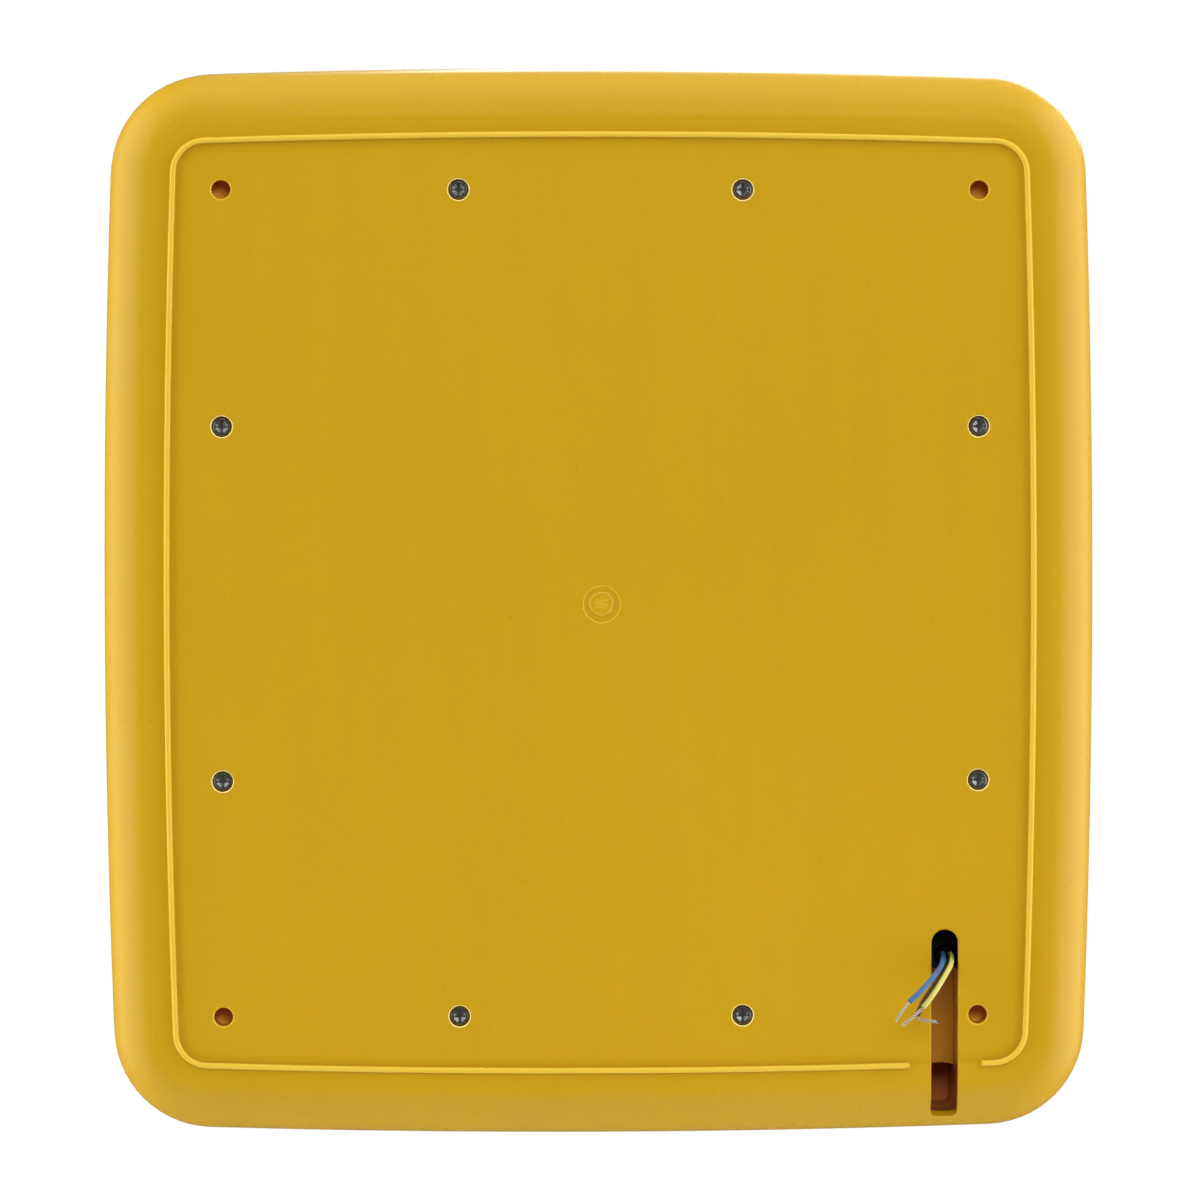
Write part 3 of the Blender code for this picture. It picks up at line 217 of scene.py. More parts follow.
# Painted light and shade in the slot and the holes: colours that stand in for their shade and for warm light
# passed through the plastic, as (depth mark, colour).
RECESS_PAINTED_LIGHT = (
    (0.0, YELLOW_LIGHT), (0.38, (0.72, 0.29, 0.024)), (0.60, (0.34, 0.085, 0.025)),
    (0.75, (0.78, 0.22, 0.07)), (1.0, (0.93, 0.42, 0.045)),
)


class Tree:
    """A material's node tree, with short ways to add nodes and links."""

    def __init__(self, name):
        self.material = bpy.data.materials.new(name)
        self.material.use_nodes = True
        self.nodes = self.material.node_tree.nodes
        self.links = self.material.node_tree.links
        self.shader = self.nodes["Principled BSDF"]
        self.place = self.nodes.new("ShaderNodeTexCoord").outputs["Object"]

    def set(self, **values):
        for socket, value in values.items():
            self.shader.inputs[socket.replace("_", " ")].default_value = value

    def link(self, source, socket):
        self.links.new(source, self.shader.inputs[socket])

    def stretch(self, scale):
        node = self.nodes.new("ShaderNodeMapping")
        node.inputs["Scale"].default_value = scale
        self.links.new(self.place, node.inputs["Vector"])
        return node.outputs["Vector"]

    def noise(self, scale, detail=2.0, roughness=0.5, vector=None):
        node = self.nodes.new("ShaderNodeTexNoise")
        node.inputs["Scale"].default_value = scale
        node.inputs["Detail"].default_value = detail
        node.inputs["Roughness"].default_value = roughness
        self.links.new(vector or self.place, node.inputs["Vector"])
        return node.outputs["Fac"]

    def ramp(self, value, stops):
        """Colours by a value. Each stop is (position, colour)."""
        node = self.nodes.new("ShaderNodeValToRGB")
        points = node.color_ramp.elements
        while len(points) < len(stops):
            points.new(0.5)
        for point, (position, colour) in zip(points, stops):
            point.position = position
            point.color = (*colour, 1.0)
        self.links.new(value, node.inputs["Fac"])
        return node.outputs["Color"]

    def between(self, value, low, high, start=0.3, end=0.7):
        """A value's range from start to end, spread over low to high."""
        node = self.nodes.new("ShaderNodeMapRange")
        for socket, number in zip(("From Min", "From Max", "To Min", "To Max"), (start, end, low, high)):
            node.inputs[socket].default_value = number
        self.links.new(value, node.inputs["Value"])
        return node.outputs["Result"]

    def maths(self, operation, a, b):
        node = self.nodes.new("ShaderNodeMath")
        node.operation = operation
        for socket, value in zip(node.inputs, (a, b)):
            if isinstance(value, (int, float)):
                socket.default_value = value
            else:
                self.links.new(value, socket)
        return node.outputs["Value"]

    def mix(self, factor, a, b, blend="MIX"):
        node = self.nodes.new("ShaderNodeMix")
        node.data_type = "RGBA"
        node.blend_type = blend
        for socket, value in ((node.inputs[0], factor), (node.inputs[6], a), (node.inputs[7], b)):
            if isinstance(value, (int, float)):
                socket.default_value = value
            elif isinstance(value, tuple):
                socket.default_value = (*value, 1.0)
            else:
                self.links.new(value, socket)
        return node.outputs[2]

    def bead_shade(self):
        """1 beside the bead's inner side, fading out towards the middle of the panel."""
        half_w, half_h, corner_r = RIB_SHAPE
        split = self.nodes.new("ShaderNodeSeparateXYZ")
        self.links.new(self.place, split.inputs[0])
        x, z = split.outputs["X"], split.outputs["Z"]
        reaches = []
        for across, along, half in ((x, z, half_w), (z, x, half_h)):
            bow = self.maths("DIVIDE", self.maths("MULTIPLY", along, along), 2 * BOW_R)
            reaches.append(self.maths("ADD", self.maths("ABSOLUTE", across, 0.0), bow))
            reaches[-1] = self.maths("SUBTRACT", reaches[-1], half - corner_r)
        outer = [self.maths("MAXIMUM", reach, 0.0) for reach in reaches]
        squares = [self.maths("MULTIPLY", value, value) for value in outer]
        corner = self.maths("SQRT", self.maths("ADD", *squares), 0.0)
        flat = self.maths("MINIMUM", self.maths("MAXIMUM", *reaches), 0.0)
        gap = self.maths("SUBTRACT", self.maths("ADD", corner, flat), corner_r - RIB_W / 2)
        fade = self.between(gap, 0.0, 0.8, -0.0040, 0.0)
        return self.maths("MULTIPLY", fade, self.maths("LESS_THAN", gap, 0.0006))

    def bump(self, layers):
        """Bump from (height, distance in metres) layers."""
        normal = None
        for height, distance in layers:
            node = self.nodes.new("ShaderNodeBump")
            node.inputs["Distance"].default_value = distance
            self.links.new(height, node.inputs["Height"])
            if normal:
                self.links.new(normal, node.inputs["Normal"])
            normal = node.outputs["Normal"]
        self.link(normal, "Normal")


def scaled(colour, factor):
    return tuple(min(1.0, c * factor) for c in colour)


def plain(name, colour, rough, metallic=0.0, vary=0.05, grain=900.0, grain_depth=0.000015, cloud=14.0,
          **sockets):
    """A finish whose colour clouds slightly, with a fine grain in its roughness and in its relief."""
    tree = Tree(name)
    clouds = tree.noise(cloud, 3.0)
    speckle = tree.noise(grain, 2.0, 0.6)
    colours = tree.ramp(clouds, ((0.3, scaled(colour, 1 - vary)), (0.7, scaled(colour, 1 + vary))))
    tree.link(colours, "Base Color")
    tree.link(tree.between(speckle, rough * 0.88, rough * 1.14), "Roughness")
    tree.set(Metallic=metallic, **sockets)
    tree.bump([(speckle, grain_depth)])
    return tree.material


def yellow_plastic():
    """Glossy moulded plastic: faint flow lines, a soft orange peel and a few dull smudges, with painted shade
    and glow in the slot and the holes, painted shade beside the bead, and painted highlights on the bead, the
    chamfers and the gate mark.
    """
    tree = Tree("yellow_moulded_plastic")
    clouds = tree.noise(7.0, 3.0)
    flow = tree.noise(9.0, 2.0, 0.5, tree.stretch((9.0, 1.0, 0.7)))
    colours = tree.ramp(clouds, ((0.25, YELLOW_DARK), (0.75, YELLOW_LIGHT)))
    streaks = tree.ramp(flow, ((0.35, (0.985, 0.985, 0.985)), (0.65, (1.0, 1.0, 1.0))))
    outer = tree.mix(1.0, colours, streaks, "MULTIPLY")
    # Painted shade and painted glow inside the slot and the holes, from the inside mark.
    inside = tree.nodes.new("ShaderNodeAttribute")
    inside.attribute_name = "inside"
    inner = tree.ramp(inside.outputs["Fac"], RECESS_PAINTED_LIGHT)
    deep = tree.between(inside.outputs["Fac"], 0.0, 1.0, 0.0, 0.02)
    # Painted highlights on the bead, the chamfers and the gate mark, from the raised mark.
    raised = tree.nodes.new("ShaderNodeAttribute")
    raised.attribute_name = "raised"
    lit = tree.between(raised.outputs["Fac"], 0.0, 1.0, 0.0, 0.5)
    pale = tree.ramp(raised.outputs["Fac"], ((0.5, BEAD_HIGHLIGHT_COLOUR), (1.0, RING_HIGHLIGHT_COLOUR)))
    shaded = tree.mix(deep, tree.mix(tree.bead_shade(), outer, BEAD_SHADE), inner)
    tree.link(tree.mix(lit, shaded, pale), "Base Color")
    smudges = tree.between(tree.noise(23.0, 4.0, 0.62), 0.0, 0.10, 0.52, 0.74)
    fine = tree.between(tree.noise(700.0, 2.0), 0.27, 0.33)
    tree.link(tree.maths("ADD", fine, smudges), "Roughness")
    tree.set(IOR=1.5, Coat_Weight=0.10, Coat_Roughness=0.12)
    tree.set(Subsurface_Weight=0.06, Subsurface_Scale=0.002, Subsurface_Radius=(1.0, 0.45, 0.05))
    tree.bump([(tree.noise(420.0, 1.0), 0.000003), (tree.noise(46.0, 2.0), 0.00001)])
    return tree.material


def earth_pvc():
    """Yellow insulation with a green stripe along one side of the wire."""
    tree = Tree("earth_pvc_striped")
    stripe = tree.nodes.new("ShaderNodeAttribute")
    stripe.attribute_name = "around"
    edge = tree.between(stripe.outputs["Fac"], 0.0, 1.0, 0.86, 0.90)
    tint = tree.ramp(tree.noise(300.0, 2.0), ((0.3, (0.62, 0.48, 0.13)), (0.7, (0.70, 0.55, 0.17))))
    tree.link(tree.mix(edge, tint, (0.03, 0.24, 0.045)), "Base Color")
    tree.link(tree.between(tree.noise(1200.0), 0.36, 0.46), "Roughness")
    tree.bump([(tree.noise(1500.0, 2.0), 0.00002)])
    return tree.material


def tinned_copper():
    """Bright strands, with painted shade in the grooves between them."""
    tree = Tree("tinned_copper_twisted")
    height = tree.nodes.new("ShaderNodeAttribute")
    height.attribute_name = "around"
    # Painted shade: dark in the grooves between the strands, pale on their outer faces, with a little random
    # jitter.
    groove_shade_level = tree.maths("ADD", height.outputs["Fac"], tree.between(tree.noise(1500.0), -0.08, 0.08))
    tree.link(tree.ramp(groove_shade_level, ((0.72, (0.08, 0.02, 0.01)), (0.89, (1.0, 0.84, 0.74)))), "Base Color")
    tree.link(tree.between(tree.noise(1200.0), 0.28, 0.40), "Roughness")
    tree.set(Metallic=0.35)
    tree.bump([(tree.noise(1500.0, 2.0), 0.00001)])
    return tree.material


def lens_colour(name, colour):
    """A coloured diffuser with a fine pattern of round lenses."""
    tree = Tree(name)
    cells = tree.nodes.new("ShaderNodeTexVoronoi")
    cells.inputs["Scale"].default_value = 260.0
    cells.inputs["Randomness"].default_value = 0.0
    tree.links.new(tree.place, cells.inputs["Vector"])
    height = cells.outputs["Distance"]
    colours = tree.ramp(height, ((0.1, scaled(colour, 1.15)), (0.7, scaled(colour, 0.75))))
    tree.link(colours, "Base Color")
    tree.link(tree.between(tree.noise(60.0), 0.20, 0.30), "Roughness")
    tree.set(Coat_Weight=0.5, Coat_Roughness=0.08)
    tree.bump([(height, 0.0004)])
    return tree.material


def clear_lens():
    tree = Tree("clear_polycarbonate")
    tree.set(Transmission_Weight=1.0, IOR=1.49)
    tint = tree.ramp(tree.noise(8.0), ((0.3, (0.90, 0.93, 0.94)), (0.7, (0.94, 0.96, 0.96))))
    tree.link(tint, "Base Color")
    tree.link(tree.between(tree.noise(12.0, 1.0), 0.02, 0.03), "Roughness")
    tree.bump([(tree.noise(30.0), 0.00002)])
    return tree.material


def make_finishes():
    """One material for each of the record's slots, and one of its own for the jacket of the supply cable."""
    return {
        "yellow_plastic": yellow_plastic(),
        "black_rubber": plain("black_rubber_matt", (0.008, 0.008, 0.009), 0.66, vary=0.25,
                              grain=1600.0, grain_depth=0.00003, Specular_IOR_Level=0.3),
        "black_plastic": plain("black_fine_grain", (0.014, 0.014, 0.015), 0.42, vary=0.12,
                               grain=1300.0, grain_depth=0.00004),
        "clear_lens": clear_lens(),
        "red_lens": lens_colour("red_diffuser", (0.50, 0.012, 0.010)),
        "green_lens": lens_colour("green_diffuser", (0.010, 0.30, 0.13)),
        "white_plastic": plain("white_moulding", (0.78, 0.78, 0.75), 0.38, vary=0.02),
        "grey_plastic": plain("grey_moulding", (0.22, 0.23, 0.24), 0.45, vary=0.05),
        "steel": plain("zinc_plated_steel", (0.60, 0.60, 0.59), 0.22, 1.0, vary=0.10,
                       grain=1800.0, cloud=350.0),
        "blue_pvc": plain("blue_pvc_soft", (0.055, 0.135, 0.33), 0.34, vary=0.06, cloud=300.0),
        "brown_pvc": plain("brown_pvc_soft", (0.10, 0.033, 0.012), 0.38, vary=0.08, cloud=300.0),
        "earth_pvc": earth_pvc(),
        "tinned_copper": tinned_copper(),
        "supply_cable": plain("black_cable_jacket", (0.004, 0.004, 0.004), 0.7, Specular_IOR_Level=0.2),
    }


# ---------------------------------------------------------------- outlines
def outline(half_w, half_h, corner_r, inset=0.0):
    """Points (x, z) of a rectangle with bowed sides and round corners, anticlockwise from +X."""
    side_centre = Vector((half_w - BOW_R, 0.0))
    top_centre = Vector((0.0, half_h - BOW_R))
    half_gap = (top_centre - side_centre) / 2
    along = sqrt((BOW_R - corner_r) ** 2 - half_gap.length_squared)
    outwards = Vector((-half_gap.y, half_gap.x)).normalized()
    if outwards.x < 0:
        outwards.negate()
    corner = (side_centre + top_centre) / 2 + outwards * along
    side_end = atan2(corner.y, corner.x - side_centre.x)
    top_start = atan2(corner.y - top_centre.y, corner.x)
    spans = (
        (side_centre, BOW_R, 0.0, side_end, SIDE_STEPS),
        (corner, corner_r, side_end, top_start, CORNER_STEPS),
        (top_centre, BOW_R, top_start, pi / 2, SIDE_STEPS),
    )
    quarter = []
    for centre, radius, start, end, steps in spans:
        for i in range(steps):
            a = start + (end - start) * i / steps
            quarter.append(centre + (radius - inset) * Vector((cos(a), sin(a))))
    quarter.append(Vector((0.0, half_h - inset)))
    mirrored = [Vector((-p.x, p.y)) for p in reversed(quarter)]
    upper = quarter + mirrored[1:-1]
    return upper + [-p for p in upper]


def body(inset=0.0):
    """The housing's outline, moved inwards."""
    return outline(HALF_W, HALF_H, CORNER_R, inset)


def framed(inset=0.0):
    """The front frame's outline, moved inwards."""
    return outline(*FRAME_SHAPE, inset)


def shrunk(shape, by=GAP):
    """An outline's sizes, made smaller all round."""
    half_w, half_h, corner_r = shape
    return half_w - by, half_h - by, corner_r - by


def arc(centre, radius, start, end, steps):
    """Points on an arc in the plane, its ends in degrees."""
    turns = [radians(start + (end - start) * i / steps) for i in range(steps + 1)]
    return [(centre[0] + radius * cos(a), centre[1] + radius * sin(a)) for a in turns]


def round_edge(radius, inset, depth, steps):
    """(inset, depth) along a quarter round that turns the flat back into a side wall."""
    angles = [pi / 2 * i / steps for i in range(steps + 1)]
    return [(inset - radius * sin(a), depth + radius * (1 - cos(a))) for a in angles]


def soft_corners(points, radius, steps=5):
    """A polygon with each corner rounded off."""
    found = []
    for i, corner in enumerate(points):
        before, after = points[i - 1], points[(i + 1) % len(points)]
        reach_in = min(radius, (before - corner).length * 0.45)
        reach_out = min(radius, (after - corner).length * 0.45)
        start = corner + (before - corner).normalized() * reach_in
        end = corner + (after - corner).normalized() * reach_out
        for j in range(steps + 1):
            t = j / steps
            found.append(start * (1 - t) ** 2 + corner * 2 * t * (1 - t) + end * t * t)
    return found


# ---------------------------------------------------------------- mesh tools
def join_rings(bm, rings, loop=False):
    """Faces between neighbouring rings of points. The ends are capped unless the rings make a loop."""
    pairs = list(zip(rings, rings[1:])) + ([(rings[-1], rings[0])] if loop else [])
    for near, far in pairs:
        for i in range(len(near)):
            j = (i + 1) % len(near)
            bm.faces.new((near[i], near[j], far[j], far[i]))
    if not loop:
        bm.faces.new(rings[0])
        bm.faces.new(rings[-1])


def skin(bm, stations, loop=False):
    """Joins outlines of equal length, given as (points, depth)."""
    rings = [[bm.verts.new((p[0], -depth, p[1])) for p in points] for points, depth in stations]
    join_rings(bm, rings, loop)
    bmesh.ops.recalc_face_normals(bm, faces=bm.faces)


def turned(bm, x, z, profile, sides=FINE, turn=0.0):
    """A solid of revolution about a line along Y, from (radius, depth) points."""
    circle = [(cos(2 * pi * i / sides + turn), sin(2 * pi * i / sides + turn)) for i in range(sides)]
    skin(bm, [([(x + c * radius, z + s * radius) for c, s in circle], depth) for radius, depth in profile])


def rods(bm, spots, near, far, radius, sides=ROUND):
    for x, z in spots:
        turned(bm, x, z, [(radius, near), (radius, far)], sides)


def bores(bm, spots, depth, radius):
    """Cutters for holes from the back whose mouths are chamfered."""
    slope = ((2.0, -1.0), (0.8, 0.2), (0.3, 0.7), (0.0, 1.2))
    profile = [(radius + out * CHAMFER, down * CHAMFER) for out, down in slope] + [(radius, depth)]
    for x, z in spots:
        turned(bm, x, z, profile)


def upright(bm, x, depth, profile):
    """A solid of revolution about a line along Z, from (radius, z) points."""
    circle = [(cos(2 * pi * i / ROUND), sin(2 * pi * i / ROUND)) for i in range(ROUND)]
    join_rings(bm, [[bm.verts.new((x + c * r, -depth + s * r, z)) for c, s in circle] for r, z in profile])
    bmesh.ops.recalc_face_normals(bm, faces=bm.faces)


def block(bm, x0, x1, near, far, z0, z1):
    """A box given by its X range, its depth range and its Z range."""
    size = Matrix.Diagonal((x1 - x0, far - near, z1 - z0, 1.0))
    middle = Matrix.Translation(((x0 + x1) / 2, -(near + far) / 2, (z0 + z1) / 2))
    bmesh.ops.create_cube(bm, size=1.0, matrix=middle @ size)


def mesh_of(draw):
    """A mesh holding what a drawing function puts into an empty bmesh."""
    bm = bmesh.new()
    draw(bm)
    mesh = bpy.data.meshes.new("shape")
    bm.to_mesh(mesh)
    bm.free()
    return mesh


def new_object(name, data):
    obj = bpy.data.objects.new(name, data)
    bpy.context.scene.collection.objects.link(obj)
    return obj


def applied(obj):
    """Makes the object's mesh what its modifiers give, and removes them."""
    bpy.context.view_layer.update()
    evaluated = obj.evaluated_get(bpy.context.evaluated_depsgraph_get())
    result = bpy.data.meshes.new_from_object(evaluated)
    obj.modifiers.clear()
    obj.data = result
    return obj


def combine(obj, operation, draw):
    """Applies one Boolean, whose tool is drawn, used and removed again."""
    tool = new_object("tool", mesh_of(draw))
    tool.location = obj.location
    modifier = obj.modifiers.new(operation, "BOOLEAN")
    modifier.operation = operation
    modifier.solver = "EXACT"
    modifier.object = tool
    applied(obj)
    bpy.data.objects.remove(tool)


def add(obj, draw):
    combine(obj, "UNION", draw)


def cut(obj, draw):
    combine(obj, "DIFFERENCE", draw)


def keep(obj, draw):
    combine(obj, "INTERSECT", draw)


def soften(obj, angle=32):
    """Smooth shading up to an angle, with flat faces kept flat."""
    obj.data.shade_smooth()
    obj.data.set_sharp_from_angle(angle=radians(angle))
    modifier = obj.modifiers.new("normals", "WEIGHTED_NORMAL")
    modifier.weight = 100
    modifier.keep_sharp = True
    return applied(obj)


def round_off(obj, width=0.0004, segments=2, angle=35):
    """A small round on the sharp edges of a clean mesh."""
    modifier = obj.modifiers.new("edges", "BEVEL")
    modifier.width = width
    modifier.segments = segments
    modifier.limit_method = "ANGLE"
    modifier.angle_limit = radians(angle)
    return applied(obj)


def give(obj, on, finish, node):
    """Puts a finished piece on its body, with its finish and the CAD node that it stands for."""
    obj.data.materials.clear()
    obj.data.materials.append(FINISHES[finish])
    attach(obj, on)
    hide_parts(node)
    return obj


def piece(name, draw):
    return new_object(name, mesh_of(draw))


# ---------------------------------------------------------------- cords
STRIPE_TURN = 5.2  # where round the earth core its stripe runs
WIRE_STEPS, WIRE_SIDES, STRAND_STEPS, STRAND_SIDES = 3, 20, 20, 10
# Number of fine strands, their radius, how far each lies from the middle, and their twist in radians a metre.
STRAND_COUNT, STRAND_FINE_R, STRAND_OUT, STRAND_TWIST = 4, 0.00026, 0.00033, 1250.0


def smooth_route(points, steps):
    """Points of a smooth curve through a route's own points."""
    route = [Vector(p) for p in points]
    slopes = [route[1] - route[0]]
    slopes += [(after - before) / 2 for before, after in zip(route, route[2:])]
    slopes.append(route[-1] - route[-2])
    found = [route[0]]
    for i, (start, end) in enumerate(zip(route, route[1:])):
        found += interpolate_bezier(start, start + slopes[i] / 3, end - slopes[i + 1] / 3, end, steps + 1)[1:]
    return found


def sweep(bm, route, radius, sides, layer, mark, turn_rate=0.0, offset=0.0, phase=0.0):
    """A round tube along a route, or winding round it at an offset. Each point's mark goes into the layer."""
    across = Vector((0.0, 0.0, 1.0))
    rings, travelled = [], 0.0
    for i, point in enumerate(route):
        along = (route[min(i + 1, len(route) - 1)] - route[max(i - 1, 0)]).normalized()
        across = (across - along * across.dot(along)).normalized()
        other = along.cross(across)
        if i:
            travelled += (point - route[i - 1]).length
        wind = phase + turn_rate * travelled
        centre = point + (across * cos(wind) + other * sin(wind)) * offset
        ring = []
        for k in range(sides):
            a = 2 * pi * k / sides
            ring.append(bm.verts.new(centre + (across * cos(a) + other * sin(a)) * radius))
            ring[-1][layer] = mark(a, (ring[-1].co - point).length)
        rings.append(ring)
    join_rings(bm, rings)


def bare_end(colour):
    """Fine strands twisted together, whose ends are staggered in length."""
    route = smooth_route(STRANDS[colour], STRAND_STEPS)

    # The mark rises from the grooves to the strands' outer faces and sets the painted groove shade.
    def height(a, distance):
        return (distance / (STRAND_OUT + STRAND_FINE_R)) ** 2

    def draw(bm):
        layer = bm.verts.layers.float.new("around")
        for k in range(STRAND_COUNT):
            phase = 2 * pi * k / STRAND_COUNT
            part = route[: len(route) - 2 * (k % 3)]
            sweep(bm, part, STRAND_FINE_R, STRAND_SIDES, layer, height, STRAND_TWIST, STRAND_OUT, phase)
        bmesh.ops.recalc_face_normals(bm, faces=bm.faces)

    obj = soften(piece(f"bare_end_{colour}", draw), 50)
    return give(obj, "housing", "tinned_copper", f"strand_{colour}")


def conductor(colour):
    """One conductor: insulation as a mesh tube along its route, with its bare end."""
    route = smooth_route(WIRES[colour], WIRE_STEPS)
    start, end = route[0], route[-1]

    def turn(a, distance):
        return 0.5 + 0.5 * cos(a + STRIPE_TURN)

    def draw(bm):
        layer = bm.verts.layers.float.new("around")
        sweep(bm, route, WIRE_R, WIRE_SIDES, layer, turn)
        bmesh.ops.recalc_face_normals(bm, faces=bm.faces)

    obj = round_off(piece(f"conductor_{colour}", draw), 0.00012, 2, 60)
    soften(obj, 50)
    give(obj, "housing", f"{colour}_pvc", f"wire_{colour}")
    strands = bare_end(colour)


# ---------------------------------------------------------------- rear housing
def slot_outline(grow=0.0, lip=0.0):
    """Cable slot seen from the back: a half round at the top and a square foot with small round corners."""
    r, foot_r = SLOT_R + grow, SLOT_FOOT_R + grow
    points = arc((SLOT_X, SLOT_TOP - SLOT_R), r, 0, 180, 16)
    for side, start in ((-1, 180), (1, 270)):
        centre = (SLOT_X + side * (SLOT_R - SLOT_FOOT_R), SLOT_FOOT + SLOT_FOOT_R - lip)
        points += arc(centre, foot_r, start, start + 90, 6)
    return points


def deep_outline():
    """The part of the slot below the step in its floor."""
    points = arc((SLOT_X, DUCT_STEP_Z - 0.001), SLOT_R, 0, 180, 16)
    points = [(x, DUCT_STEP_Z - 0.001 + (z - DUCT_STEP_Z + 0.001) * 0.2) for x, z in points]
    return points + slot_outline()[17:]


def broken_loop(points, x0, x1):
    """An outline opened along its lower side between two x positions, as a path from x1 round to x0."""
    count = len(points)
    before = max((i for i, p in enumerate(points) if p.y < 0 and p.x <= x0), key=lambda i: points[i].x)
    after = next(i % count for i in range(before + 1, before + count) if points[i % count].x >= x1)
    ends = []
    for near, far, x in ((after - 1, after, x1), (before, (before + 1) % count, x0)):
        near, far = points[near], points[far]
        ends.append(near.lerp(far, (x - near.x) / (far.x - near.x)))
    kept = (before - after) % count + 1
    return [ends[0]] + [points[(after + i) % count] for i in range(kept)] + [ends[1]]


def rib_section():
    """(inset, depth) across the bead, from one foot over its rounded top to the other."""
    half, foot = RIB_W / 2, RIB_W / 2 + RIB_FLARE
    top = [(-half * cos(pi * i / 8), -(RIB_H - RIB_ROUND) - RIB_ROUND * sin(pi * i / 8)) for i in range(9)]
    sides = [(-foot, RIB_SINK), (-foot, 0.0), (-half - 0.3 * RIB_FLARE, -0.35 * RIB_FLARE)]
    mirrored = [(-across, depth) for across, depth in reversed(sides)]
    return sides + top + mirrored


def rib_nose(section, base, reach):
    """Rings that close one end of the bead in a rounded nose."""
    turns = [radians(turn) for turn in (25, 50, 75)]
    return [[base + (v - base) * cos(a) + Vector((reach * sin(a), 0, 0)) for v in section] for a in turns]


def rib_bar(bm):
    """The bead round the back, broken at the cable slot, its base sunk in the panel."""
    x0, x1 = SLOT_X - RIB_GAP, SLOT_X + RIB_GAP
    rows = []
    for inset, depth in rib_section():
        rows.append([Vector((p.x, -depth, p.y)) for p in broken_loop(outline(*RIB_SHAPE, inset), x0, x1)])
    rings = [list(ring) for ring in zip(*rows)]
    middle = broken_loop(outline(*RIB_SHAPE), x0, x1)
    first, last = [Vector((p.x, -RIB_SINK, p.y)) for p in (middle[0], middle[-1])]
    rings = rib_nose(rings[0], first, -RIB_W / 2)[::-1] + rings + rib_nose(rings[-1], last, RIB_W * 0.15)
    join_rings(bm, [[bm.verts.new(p) for p in ring] for ring in rings])
    bmesh.ops.recalc_face_normals(bm, faces=bm.faces)


def duct(bm_target):
    """The box of material that the cable slot is sunk into, kept inside the housing's outer surface."""
    wall, skin_in = DUCT_WALL, 0.001
    left, right, low = SLOT_X - SLOT_R - wall, SLOT_X + SLOT_R + wall, SLOT_FOOT - wall
    back, deep_back = DUCT_FLOOR + wall, DUCT_DEEP_FLOOR + wall
    made = piece("duct", lambda bm: block(bm, left, right, skin_in, back, low, SLOT_TOP + wall))
    add(made, lambda bm: rods(bm, [(GROMMET_X, GROMMET_Z)], 0.0015, back, GROMMET_R + wall, FINE))
    add(made, lambda bm: block(bm, left, right, 0.015, deep_back, low, DUCT_STEP_Z + wall))
    edge = round_edge(EDGE_R, EDGE_R + DRAFT, 0.0, 12)
    core = [(body(inset + skin_in), depth + skin_in) for inset, depth in edge]
    keep(made, lambda bm: skin(bm, core + [(body(skin_in), REAR_RIM)]))
    bm_target.from_mesh(made.data)
    bpy.data.objects.remove(made)


def gate_recess(bm):
    """Cutter for the shallow round recess at the injection point."""
    profile = [(GATE_R + 0.0007, -0.0002), (GATE_R + 0.00010, 0.00005), (GATE_R - 0.00015, 0.00015)]
    turned(bm, GATE_X, GATE_Z, profile + [(GATE_R - 0.00045, GATE_DEPTH)], 14, 0.2)


def gate_vestige(bm):
    """The rough stump that the gate leaves, with a raised rim."""
    sides, rings = 28, 7
    grid = []
    for j in range(rings + 1):
        t = j / rings
        row = []
        for i in range(sides):
            a = 2 * pi * i / sides
            ripple = 0.5 + 0.5 * sin(5 * a + 9 * t) * cos(3 * a - 11 * t + 1.3)
            wobble = 1 + 0.03 * sin(3 * a + 0.5) + 0.02 * sin(7 * a)
            rise = 0.00028 + 0.00010 * ripple * (1 - t) + (0.00010 if j == rings - 1 else 0.0)
            depth = GATE_DEPTH - rise if j < rings else GATE_DEPTH + 0.0002
            reach = GATE_CORE_R * wobble * max(t, 0.08)
            row.append((GATE_X + 0.0002 + cos(a) * reach, depth, GATE_Z + 0.0002 + sin(a) * reach))
        grid.append(row)
    join_rings(bm, [[bm.verts.new((x, -depth, z)) for x, depth, z in row] for row in grid])
    bmesh.ops.recalc_face_normals(bm, faces=bm.faces)


def surface_depth(x, z):
    """How far the outside of the housing lies in front of the panel's plane, near its lower edge."""
    over = -z - (HALF_H - x * x / (2 * BOW_R) - EDGE_R - DRAFT)
    return EDGE_R - sqrt(EDGE_R ** 2 - min(max(over, 0.0), EDGE_R) ** 2)


